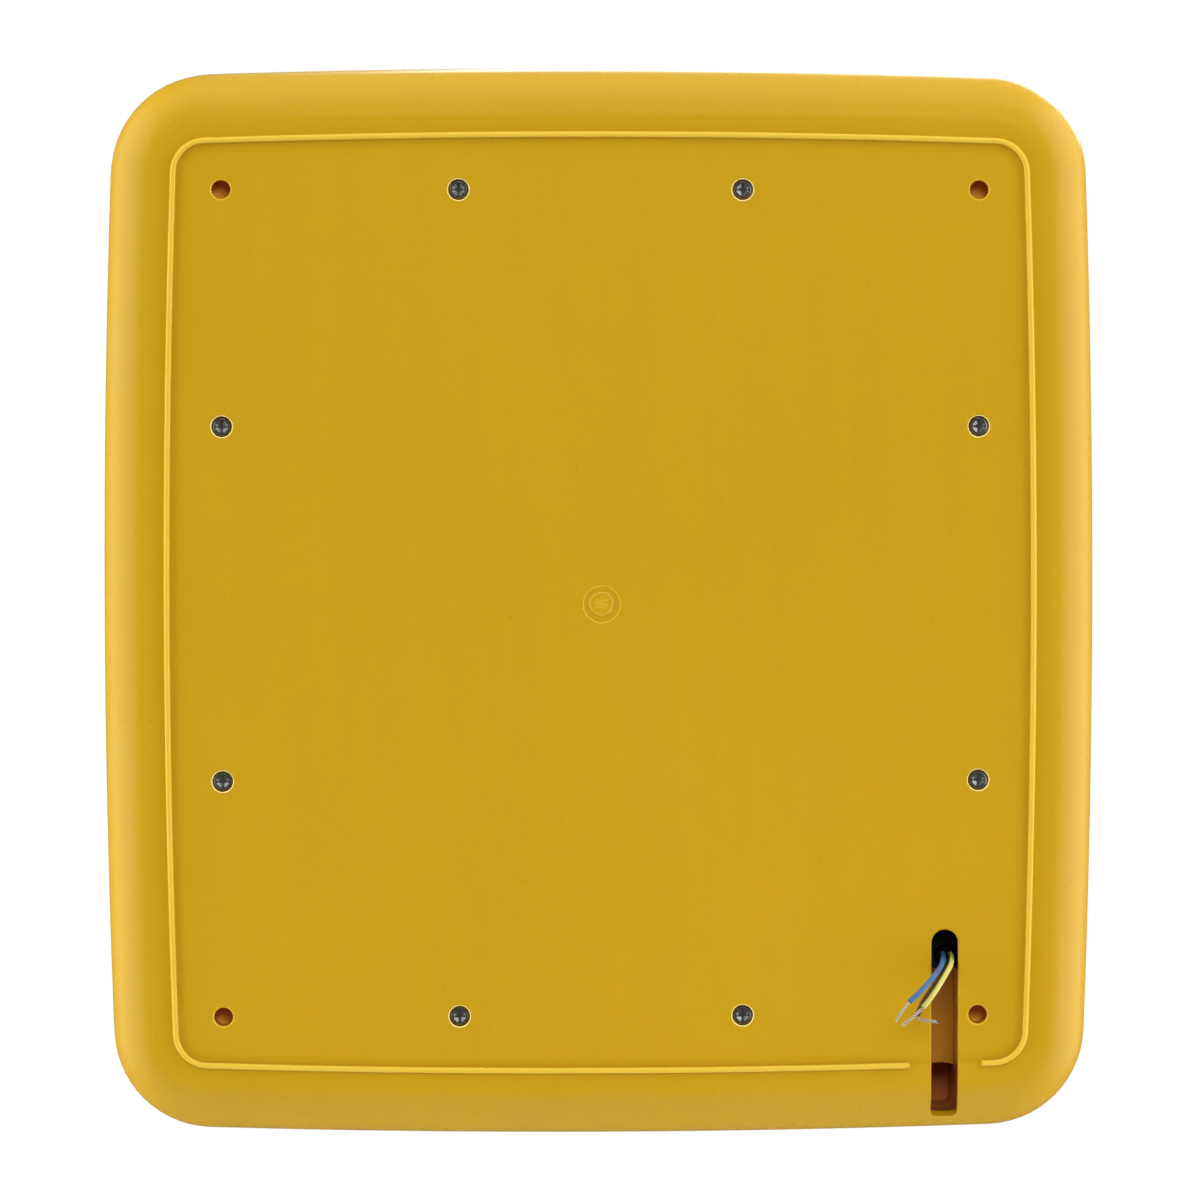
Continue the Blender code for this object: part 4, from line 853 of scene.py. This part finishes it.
def mark_inside(obj):
    """Marks each point with its depth inside the slot or a hole (0 to 1), which sets the painted shade and
    glow there, and with how pale a painted highlight makes it.
    """
    marks = obj.data.attributes.new("inside", "FLOAT", "POINT")
    raised = obj.data.attributes.new("raised", "FLOAT", "POINT")
    holes = [(x, z, MOUNT_HOLE_R, HIGHLIGHT_ON_HOLE) for x, z in MOUNT_SPOTS]
    holes += [(x, z, HEAD_BORE_R, HIGHLIGHT_ON_BORE) for x, z in SCREW_SPOTS]
    for vertex, mark, lit in zip(obj.data.vertices, marks.data, raised.data):
        x, depth, z = vertex.co.x, -vertex.co.y, vertex.co.z
        in_slot = abs(x - SLOT_X) < SLOT_R + CHAMFER and SLOT_FOOT - FOOT_LIP - CHAMFER < z < SLOT_TOP + GAP
        in_hole = [ring for hx, hz, r, ring in holes if (x - hx) ** 2 + (z - hz) ** 2 < (r + CHAMFER) ** 2]
        # Painted highlights: the bead, the chamfers of the holes and bores, and the gate's ring; the gate's
        # core is made paler in uneven patches.
        if depth < -RIB_FLARE:
            lit.value = HIGHLIGHT_ON_BEAD
        elif in_hole and 0.1 * CHAMFER < depth < 0.8 * CHAMFER:
            lit.value = in_hole[0]
        gate_r = sqrt((x - GATE_X) ** 2 + (z - GATE_Z) ** 2)
        if gate_r < 1.1 * GATE_R and 0.1 * GATE_DEPTH < abs(depth) < 0.8 * GATE_DEPTH:
            uneven = 0.20 + 0.12 * sin(4000 * x) * sin(3100 * z)
            lit.value = HIGHLIGHT_ON_GATE if gate_r > 1.2 * GATE_CORE_R else uneven
        if depth - surface_depth(x, z) <= 2 * CHAMFER:
            continue
        # Painted shade and glow: the deeper a point lies in a hole or the slot, the higher its mark.
        if in_hole:
            mark.value = 1.0
        elif in_slot:
            mark.value = 0.75 * min(1.0, depth / DUCT_DEEP_FLOOR)
            if z < DUCT_STEP_Z and depth < DUCT_FLOOR:
                mark.value = 0.0 if depth < FOOT_LIP_END + GAP and z < SLOT_FOOT + CHAMFER else 0.6
    return obj


def rear_shell():
    flat = EDGE_R + DRAFT
    lip = 0.0006
    outside = round_edge(EDGE_R, flat, 0.0, 16) + [(0.0, REAR_RIM - lip), (lip * 0.4, REAR_RIM)]
    inside = [(WALL, REAR_RIM)] + round_edge(EDGE_R - WALL, flat, WALL, 8)[::-1]
    profile = [(body(inset), depth) for inset, depth in outside + inside]
    shell = piece("rear_shell", lambda bm: skin(bm, profile))

    def bosses(bm):
        rods(bm, SCREW_SPOTS, 0.002, BOSS_END, BOSS_R)
        rods(bm, POST_SPOTS, 0.002, POST_END, BOSS_R)
        rods(bm, MOUNT_SPOTS, 0.002, MOUNT_BOSS_END, MOUNT_BOSS_R)

    def holes(bm):
        rods(bm, SCREW_SPOTS, HEAD_SINK / 2, BOSS_END + 0.001, SHANK_HOLE_R)
        rods(bm, POST_SPOTS, POST_PILOT, POST_END + 0.001, SMALL_HOLE_R)
        rods(bm, [(CABLE_X, CABLE_Z)], DUCT_FLOOR - 0.001, DUCT_FLOOR + DUCT_WALL + 0.001, NECK_R + 2 * GAP)

    mouth = [(slot_outline(2 * CHAMFER, FOOT_LIP), -CHAMFER), (slot_outline(0.0, FOOT_LIP), CHAMFER)]
    mouth += [(slot_outline(0.0, FOOT_LIP), FOOT_LIP_START), (slot_outline(), FOOT_LIP_END)]
    mouth += [(slot_outline(), FOOT_LIP_END + CHAMFER), (slot_outline(), DUCT_FLOOR)]
    add(shell, rib_bar)
    add(shell, bosses)
    add(shell, duct)
    cut(shell, gate_recess)
    add(shell, gate_vestige)
    cut(shell, lambda bm: bores(bm, SCREW_SPOTS, HEAD_SINK, HEAD_BORE_R))
    cut(shell, lambda bm: bores(bm, MOUNT_SPOTS, MOUNT_HOLE_END, MOUNT_HOLE_R))
    cut(shell, lambda bm: skin(bm, mouth))
    cut(shell, lambda bm: rods(bm, [(GROMMET_X, GROMMET_Z)], WALL, DUCT_FLOOR, GROMMET_R + 3 * GAP, FINE))
    cut(shell, lambda bm: skin(bm, [(deep_outline(), DUCT_FLOOR - 0.001), (deep_outline(), DUCT_DEEP_FLOOR)]))
    cut(shell, holes)
    return give(mark_inside(soften(shell)), "housing", "yellow_plastic", "rear_housing")


def gland():
    """The rubber grommet that closes the slot round the cable."""
    edge = 0.0008
    face = [(GROMMET_R, DUCT_FLOOR - GAP), (GROMMET_R, GROMMET_FACE + edge)]
    for a in (radians(30), radians(60), radians(90)):
        face.append((GROMMET_R - edge * (1 - cos(a)), GROMMET_FACE + edge * (1 - sin(a))))
    made = piece("rubber_gland", lambda bm: turned(bm, GROMMET_X, GROMMET_Z, face))
    add(made, lambda bm: rods(bm, [(CABLE_X, CABLE_Z)], DUCT_FLOOR - 0.004, NECK_END, NECK_R))
    bore = CABLE_R + 2 * GAP
    hole = [(bore + 0.0006, GROMMET_FACE - 0.0003), (bore, GROMMET_FACE + 0.0005), (bore, NECK_END + 0.001)]
    cut(made, lambda bm: turned(bm, CABLE_X, CABLE_Z, hole))
    return give(soften(made), "housing", "black_rubber", "cable_grommet")


# ---------------------------------------------------------------- screws
def pozidriv_mesh(head_r, head_h, shank_r, length, recess):
    """A pan-head screw with a cross recess, its head seated on the origin, with the shank towards -Y."""
    profile = [(shank_r * 0.5, length), (shank_r, length - shank_r), (shank_r, 0.0), (head_r * 0.97, 0.0)]
    profile += [(head_r, -0.12 * head_h), (head_r, -0.50 * head_h), (head_r * 0.97, -0.74 * head_h)]
    profile += [(head_r * 0.90, -0.90 * head_h), (head_r * 0.80, -0.97 * head_h), (head_r * 0.68, -head_h)]
    made = piece("screw", lambda bm: turned(bm, 0, 0, profile, 40))
    arm, width, deep = recess

    def wing(turn):
        rings = []
        mouth, foot = (arm, width * 0.55, -head_h - 0.0002), (arm * 0.62, width * 0.4, -head_h + deep)
        for reach, side, depth in (mouth, foot):
            corners = [(reach, side), (-reach, side), (-reach, -side), (reach, -side)]
            c, s = cos(turn), sin(turn)
            rings.append(([(x * c - z * s, x * s + z * c) for x, z in corners], depth))
        return rings

    facets = [(arm * 1.08, -head_h - 0.0001), (arm * 0.42, -head_h + deep * 0.45)]
    cut(made, lambda bm: turned(bm, 0, 0, facets, 8, pi / 8))
    cut(made, lambda bm: skin(bm, wing(0)))
    cut(made, lambda bm: skin(bm, wing(pi / 2)))
    soften(made, 20)
    mesh = made.data
    bpy.data.objects.remove(made)
    return mesh


def screw_set(prefix, node_prefix, mesh, spots, depth, on, backwards=False):
    """One screw at each spot. Those that face the back are each turned a little differently."""
    for i, (x, z) in enumerate(spots):
        obj = new_object(f"{prefix}_{i + 1}", mesh.copy())
        obj.location = (x, -depth, z)
        obj.rotation_euler = (0, 0, pi) if backwards else (0, SCREW_TURNS[i % len(SCREW_TURNS)], 0)
        give(obj, on, "steel", f"{node_prefix}_{i + 1}")


# ---------------------------------------------------------------- front frame, door and visor
def hinge_barrel(bm, ranges):
    for low, high in ranges:
        edge = 0.0004
        profile = [(KNUCKLE_R - edge, low), (KNUCKLE_R, low + edge)]
        profile += [(KNUCKLE_R, high - edge), (KNUCKLE_R - edge, high)]
        upright(bm, HINGE_X, HINGE_DEPTH, profile)


def frame_ranges():
    return [(z - LUG_HALF, z + LUG_HALF) for z in (HINGE_Z, -HINGE_Z)]


def door_ranges():
    near = LUG_HALF + 2 * GAP
    return [tuple(sorted((z + s * near, z + s * KNUCKLE_END))) for z in (HINGE_Z, -HINGE_Z) for s in SIGNS]


def pin_bores(bm):
    for z in (HINGE_Z, -HINGE_Z):
        reach = KNUCKLE_END + 0.001
        upright(bm, HINGE_X, HINGE_DEPTH, [(PIN_HOLE_R, z - reach), (PIN_HOLE_R, z + reach)])


def front_shell():
    lip = 0.0005
    profile = [
        (framed(lip), FRAME_BACK),
        (framed(0.0), FRAME_BACK + lip),
        (framed(0.0), FRAME_SHOULDER),
        (framed(0.0004), FRAME_SHOULDER + 0.0022),
        (framed(0.0014), 0.0752),
        (framed(0.0028), 0.0768),
        (framed(0.0048), FLANGE_FRONT),
        (outline(*OPENING), FLANGE_FRONT),
        (outline(*OPENING), FLANGE_BACK),
        (body(0.0046), FLANGE_BACK),
        (body(TONGUE_IN), TONGUE_BACK),
        (body(TONGUE_OUT), TONGUE_BACK),
        (body(TONGUE_OUT), FRAME_BACK),
    ]
    made = piece("front_shell", lambda bm: skin(bm, profile, loop=True))

    def lugs(bm):
        for low, high in frame_ranges():
            block(bm, HINGE_X - LUG_IN, HINGE_X + LUG_OUT, LUG_BACK, HINGE_DEPTH, low, high)

    def openings(bm):
        rods(bm, SCREW_SPOTS, BOSS_END, PILOT_END, SHANK_HOLE_R)
        half_x, half_z = CAM_HALF_W + CAM_ROOM_X, CAM_HALF_L + CAM_ROOM_Z
        left, right = LATCH_X - half_x, LATCH_X + half_x
        for z in (LATCH_Z, -LATCH_Z):
            block(bm, left, right, FLANGE_BACK - 0.001, FLANGE_FRONT + 0.001, z - half_z, z + half_z)

    add(made, lambda bm: rods(bm, SCREW_SPOTS, BOSS_END + GAP, FLANGE_BACK + 0.0015, PILLAR_R))
    add(made, lugs)
    add(made, lambda bm: hinge_barrel(bm, frame_ranges()))
    cut(made, openings)
    cut(made, pin_bores)
    return give(soften(made), "housing", "yellow_plastic", "front_frame")


def seal(name, insets, near, far, on, node):
    """A rubber seal with bulging sides between two faces."""
    out, inner = insets
    middle, bulge = (near + far) / 2, (far - near) * 0.18
    section = [(out, near), (out - bulge, middle), (out, far)]
    section += [(inner, far), (inner + bulge, middle), (inner, near)]
    made = piece(name, lambda bm: skin(bm, [(body(i), d) for i, d in section], loop=True))
    return give(soften(made, 50), on, "black_rubber", node)


def door_shell():
    steps = 7
    turns = [pi / 2 * i / steps for i in range(steps + 1)]
    nose = [(DOOR_INSET + DOOR_EDGE_R * (1 - cos(a)), DOOR_FRONT - DOOR_EDGE_R * (1 - sin(a))) for a in turns]
    inner = DOOR_INSET + DOOR_WALL
    lip = 0.0004
    profile = [(body(DOOR_INSET + lip), DOOR_BACK), (body(DOOR_INSET), DOOR_BACK + lip)]
    profile += [(body(inset), depth) for inset, depth in nose]
    profile += [
        (outline(*shrunk(WINDOW_OUTER, -lip)), DOOR_FRONT),
        (outline(*shrunk(WINDOW_OUTER, lip)), DOOR_FRONT - lip),
        (outline(*WINDOW_INNER), SEAT_FLOOR),
        (outline(*SEAT), SEAT_FLOOR),
        (outline(*SEAT), SEAT_BACK),
        (outline(*SEAT_WALL), SEAT_BACK),
        (outline(*SEAT_WALL), DOOR_HOLLOW),
        (body(inner + 0.002), DOOR_HOLLOW),
        (body(inner), DOOR_HOLLOW - 0.003),
        (body(inner), DOOR_BACK),
    ]
    made = piece("door_shell", lambda bm: skin(bm, profile, loop=True))
    latch_spots = [(LATCH_X, LATCH_Z), (LATCH_X, -LATCH_Z)]

    def bosses(bm):
        rods(bm, VISOR_SPOTS, VISOR_BOSS_END, DOOR_HOLLOW + 0.001, VISOR_BOSS_R)
        rods(bm, latch_spots, DOOR_BACK + 0.001, DOOR_HOLLOW + 0.001, LATCH_BOSS_R)

    def arms(bm):
        root = HALF_W - inner + 0.0005
        for low, high in door_ranges():
            block(bm, root, HINGE_X, HINGE_DEPTH - ARM_BACK, HINGE_DEPTH + KNUCKLE_R, low, high)

    def holes(bm):
        rods(bm, VISOR_SPOTS, VISOR_BOSS_END - 0.001, DOOR_FRONT + 0.001, SMALL_HOLE_R)
        rods(bm, RETAINER_SPOTS, SEAT_FLOOR - 0.001, RETAINER_END + 0.0008, SMALL_HOLE_R)
        rods(bm, latch_spots, DOOR_BACK, DOOR_FRONT + 0.001, LATCH_HOLE_R)

    add(made, bosses)
    add(made, arms)
    add(made, lambda bm: hinge_barrel(bm, door_ranges()))
    cut(made, holes)
    cut(made, pin_bores)
    return give(soften(made), "door", "black_plastic", "lens_door")


def visor_hood():
    root = (VISOR_BACK + VISOR_FLANGE) / 2
    lip = 0.0008
    hood = [
        (outline(*VISOR_OUTER), root),
        (outline(*VISOR_OUTER), VISOR_REACH - lip),
        (outline(*shrunk(VISOR_OUTER, lip * 0.6)), VISOR_REACH - lip * 0.2),
        (outline(*shrunk(VISOR_INNER, -lip * 0.6)), VISOR_REACH - lip * 0.2),
        (outline(*VISOR_INNER), VISOR_REACH - lip),
        (outline(*VISOR_INNER), root),
    ]
    made = piece("visor_hood", lambda bm: skin(bm, hood, loop=True))
    (low_depth, low_z), (high_depth, high_z) = VISOR_CUT
    below, ahead = -0.2, 0.25
    path = ((low_depth, below), (low_depth, low_z), (high_depth, high_z), (ahead, high_z), (ahead, below))
    bend = soft_corners([Vector(point) for point in path], 0.012, 8)

    def wedge(bm):
        sides = [[bm.verts.new((x, -p.x, p.y)) for p in bend] for x in (-0.2, 0.2)]
        bm.faces.new(sides[0])
        bm.faces.new(sides[1])
        for i in range(len(bend)):
            j = (i + 1) % len(bend)
            bm.faces.new((sides[0][i], sides[0][j], sides[1][j], sides[1][i]))
        bmesh.ops.recalc_face_normals(bm, faces=bm.faces)

    cut(made, wedge)
    inner = shrunk(VISOR_INNER, -0.0012)
    edge = 0.0005
    flange = [
        (outline(*VISOR_FLANGE_SHAPE), VISOR_BACK),
        (outline(*VISOR_FLANGE_SHAPE), VISOR_FLANGE - edge),
        (outline(*shrunk(VISOR_FLANGE_SHAPE, edge)), VISOR_FLANGE),
        (outline(*shrunk(inner, -edge)), VISOR_FLANGE),
        (outline(*inner), VISOR_FLANGE - edge),
        (outline(*inner), VISOR_BACK),
    ]
    add(made, lambda bm: skin(bm, flange, loop=True))
    cut(made, lambda bm: rods(bm, VISOR_SPOTS, VISOR_BACK - 0.001, VISOR_FLANGE + 0.001, SMALL_HOLE_R))
    return give(soften(made), "door", "black_plastic", "sun_visor")


def figure_mask():
    """The black mask with a standing figure over the red side and a walking figure over the green side."""
    plate = outline(*shrunk(SEAT))
    made = piece("figure_mask", lambda bm: skin(bm, [(plate, MASK_BACK), (plate, MASK_FRONT)]))
    near, far = MASK_BACK - 0.001, MASK_FRONT + 0.001

    def figures(bm):
        standing = [Vector((-BOARD_X + x, z)) for x, z in STANDING]
        standing += [Vector((-BOARD_X - x, z)) for x, z in reversed(STANDING)]
        walking = [Vector((BOARD_X + x, z)) for x, z in WALKING]
        for figure in (standing, walking):
            shape = soft_corners(figure, 0.0032)
            skin(bm, [(shape, near), (shape, far)])
        for x in (-BOARD_X, BOARD_X + WALKER_HEAD_X):
            rods(bm, [(x, HEAD_Z)], near, far, HEAD_R, FINE)

    cut(made, figures)
    cut(made, lambda bm: rods(bm, RETAINER_SPOTS, near, far, SMALL_HOLE_R))
    return give(soften(made), "door", "black_plastic", "symbol_mask")


def hinge_pin(name, z):
    edge, cap, shoulder = 0.0005, KNUCKLE_R * 0.8, KNUCKLE_END + GAP
    profile = [(PIN_R - edge, -PIN_END), (PIN_R, -PIN_END + edge), (PIN_R, shoulder), (cap, shoulder)]
    profile += [(cap, PIN_END - 0.0002), (cap * 0.92, PIN_END + 0.0004), (cap * 0.70, PIN_END + 0.0008)]
    profile = [(r, z + h) for r, h in profile]
    made = piece(f"{name}_turned", lambda bm: upright(bm, HINGE_X, HINGE_DEPTH, profile))
    return give(soften(made), "housing", "steel", name)


def quarter_turn(name, z):
    """Quarter-turn latch: a slotted knob, a shaft and a cam."""
    edge = 0.0006
    knob = [(KNOB_R, DOOR_FRONT + GAP), (KNOB_R, KNOB_FRONT - edge), (KNOB_R - edge, KNOB_FRONT)]
    made = piece(f"{name}_knob", lambda bm: turned(bm, LATCH_X, z, knob))
    add(made, lambda bm: rods(bm, [(LATCH_X, z)], CAM_BACK, KNOB_FRONT - 0.001, LATCH_SHAFT_R))

    def cam(bm):
        left, right = LATCH_X - CAM_HALF_W, LATCH_X + CAM_HALF_W
        block(bm, left, right, CAM_BACK - 0.0002, CAM_FRONT, z - CAM_HALF_L, z + CAM_HALF_L)

    def slot(bm):
        left, right = LATCH_X - KNOB_SLOT_HALF_W, LATCH_X + KNOB_SLOT_HALF_W
        low, high = z - KNOB_SLOT_HALF_L, z + KNOB_SLOT_HALF_L
        block(bm, left, right, KNOB_FRONT - KNOB_SLOT_DEEP, KNOB_FRONT + 0.001, low, high)

    add(made, cam)
    cut(made, slot)
    round_off(made, 0.00025, 2, 40)
    return give(soften(made), name, "steel", name)


# ---------------------------------------------------------------- stage
WORLD_FRONT, WORLD_BACK = (0.14, 0.14, 0.14), (0.07, 0.07, 0.07)
FLOOR_Z, FLOOR_R = -0.50, 0.75
# Place, size and power of each soft light, and whether it shows in reflections.
LIGHTS = {
    "side_right": ((-1.25, 0.12, 0.15), (1.9, 2.2), 11, True),
    "side_left": ((1.30, 0.12, 0.15), (1.9, 2.2), 6.5, True),
    "wash_right": ((-1.25, -0.15, 0.15), (1.9, 2.2), 27, False),
    "wash_left": ((1.30, -0.15, 0.15), (1.9, 2.2), 37, False),
    "top": ((-0.1, 0.10, 1.35), (1.9, 1.9), 2.7, True),
    "wash_top": ((-0.1, 0.25, 1.35), (1.9, 1.9), 15.5, False),
    "fill_back": ((-0.30, 2.6, 1.2), (1.3, 1.0), 35, False),
    "fill_front": ((-0.8, -2.4, 1.3), (1.8, 1.4), 50, True),
}
WASH_COLOUR = (0.91, 1.055, 0.90)


def area_light(name, location, target, size, power, colour):
    data = bpy.data.lights.new(name, "AREA")
    data.shape = "RECTANGLE"
    data.size, data.size_y = size
    data.energy = power
    data.color = colour
    obj = new_object(name, data)
    obj.location = location
    obj.rotation_euler = (Vector(target) - Vector(location)).to_track_quat("-Z", "Y").to_euler()
    return obj


def set_world():
    """White where the camera sees it, and softer and darker behind the camera where it lights the object."""
    world = bpy.data.worlds.new("studio")
    world.use_nodes = True
    bpy.context.scene.world = world
    nodes, links = world.node_tree.nodes, world.node_tree.links
    nodes.clear()
    out = nodes.new("ShaderNodeOutputWorld")
    seen, felt = nodes.new("ShaderNodeBackground"), nodes.new("ShaderNodeBackground")
    seen.inputs["Color"].default_value = (1, 1, 1, 1)
    felt.inputs["Strength"].default_value = 1.0
    place = nodes.new("ShaderNodeTexCoord")
    split = nodes.new("ShaderNodeSeparateXYZ")
    links.new(place.outputs["Generated"], split.inputs[0])
    ramp = nodes.new("ShaderNodeValToRGB")
    spread = nodes.new("ShaderNodeMapRange")
    spread.inputs["From Min"].default_value = -1.0
    links.new(split.outputs["Y"], spread.inputs["Value"])
    links.new(spread.outputs["Result"], ramp.inputs["Fac"])
    points = ramp.color_ramp.elements
    points[0].position, points[0].color = 0.30, (*WORLD_FRONT, 1)
    points[1].position, points[1].color = 0.85, (*WORLD_BACK, 1)
    links.new(ramp.outputs["Color"], felt.inputs["Color"])
    path = nodes.new("ShaderNodeLightPath")
    choose = nodes.new("ShaderNodeMixShader")
    links.new(path.outputs["Is Camera Ray"], choose.inputs[0])
    links.new(felt.outputs[0], choose.inputs[1])
    links.new(seen.outputs[0], choose.inputs[2])
    links.new(choose.outputs[0], out.inputs["Surface"])


def set_stage():
    place = Matrix.Translation((0, -0.05, FLOOR_Z))
    disc = {"cap_ends": True, "segments": 96, "radius": FLOOR_R, "matrix": place}
    floor = piece("floor", lambda bm: bmesh.ops.create_circle(bm, **disc))
    floor.data.materials.append(plain("pale_floor", (0.80, 0.80, 0.79), 0.7, vary=0.01))
    floor.visible_glossy = False
    for name, (place, size, power, reflects) in LIGHTS.items():
        colour = (1, 1, 1) if reflects else WASH_COLOUR
        area_light(name, place, (0, 0, 0), size, power, colour).visible_glossy = reflects
    bpy.context.scene.view_settings.view_transform = "Standard"


# ---------------------------------------------------------------- assembly
set_camera()
FINISHES = make_finishes()
for colour in WIRES:
    conductor(colour)
rear_shell()
gland()
front_shell()
seal("body_seal", BODY_GASKET, REAR_RIM + GAP, FRAME_BACK - GAP, "housing", "body_gasket")
screw_set("pozidriv", "housing_screw", pozidriv_mesh(*BIG_SCREW), SCREW_SPOTS, HEAD_SINK - GAP, "housing")
door_shell()
seal("door_seal", DOOR_GASKET, FLANGE_FRONT + GAP, DOOR_BACK - GAP, "door", "door_gasket")
visor_hood()
figure_mask()
small = pozidriv_mesh(*SMALL_SCREW)
screw_set("visor_pozidriv", "visor_screw", small, VISOR_SPOTS, VISOR_FLANGE + GAP, "door", backwards=True)
hinge_pin("hinge_pin_upper", HINGE_Z)
hinge_pin("hinge_pin_lower", -HINGE_Z)
quarter_turn("latch_upper", LATCH_Z)
quarter_turn("latch_lower", -LATCH_Z)

slots = {entry["node"]: entry["material_slot"] for entry in frame["record"]["subparts"]}
for name, node in frame["nodes"].items():
    for slot in node.material_slots:
        slot.link = "OBJECT"
        slot.material = FINISHES.get(name) or FINISHES[slots[name]]
set_world()
set_stage()
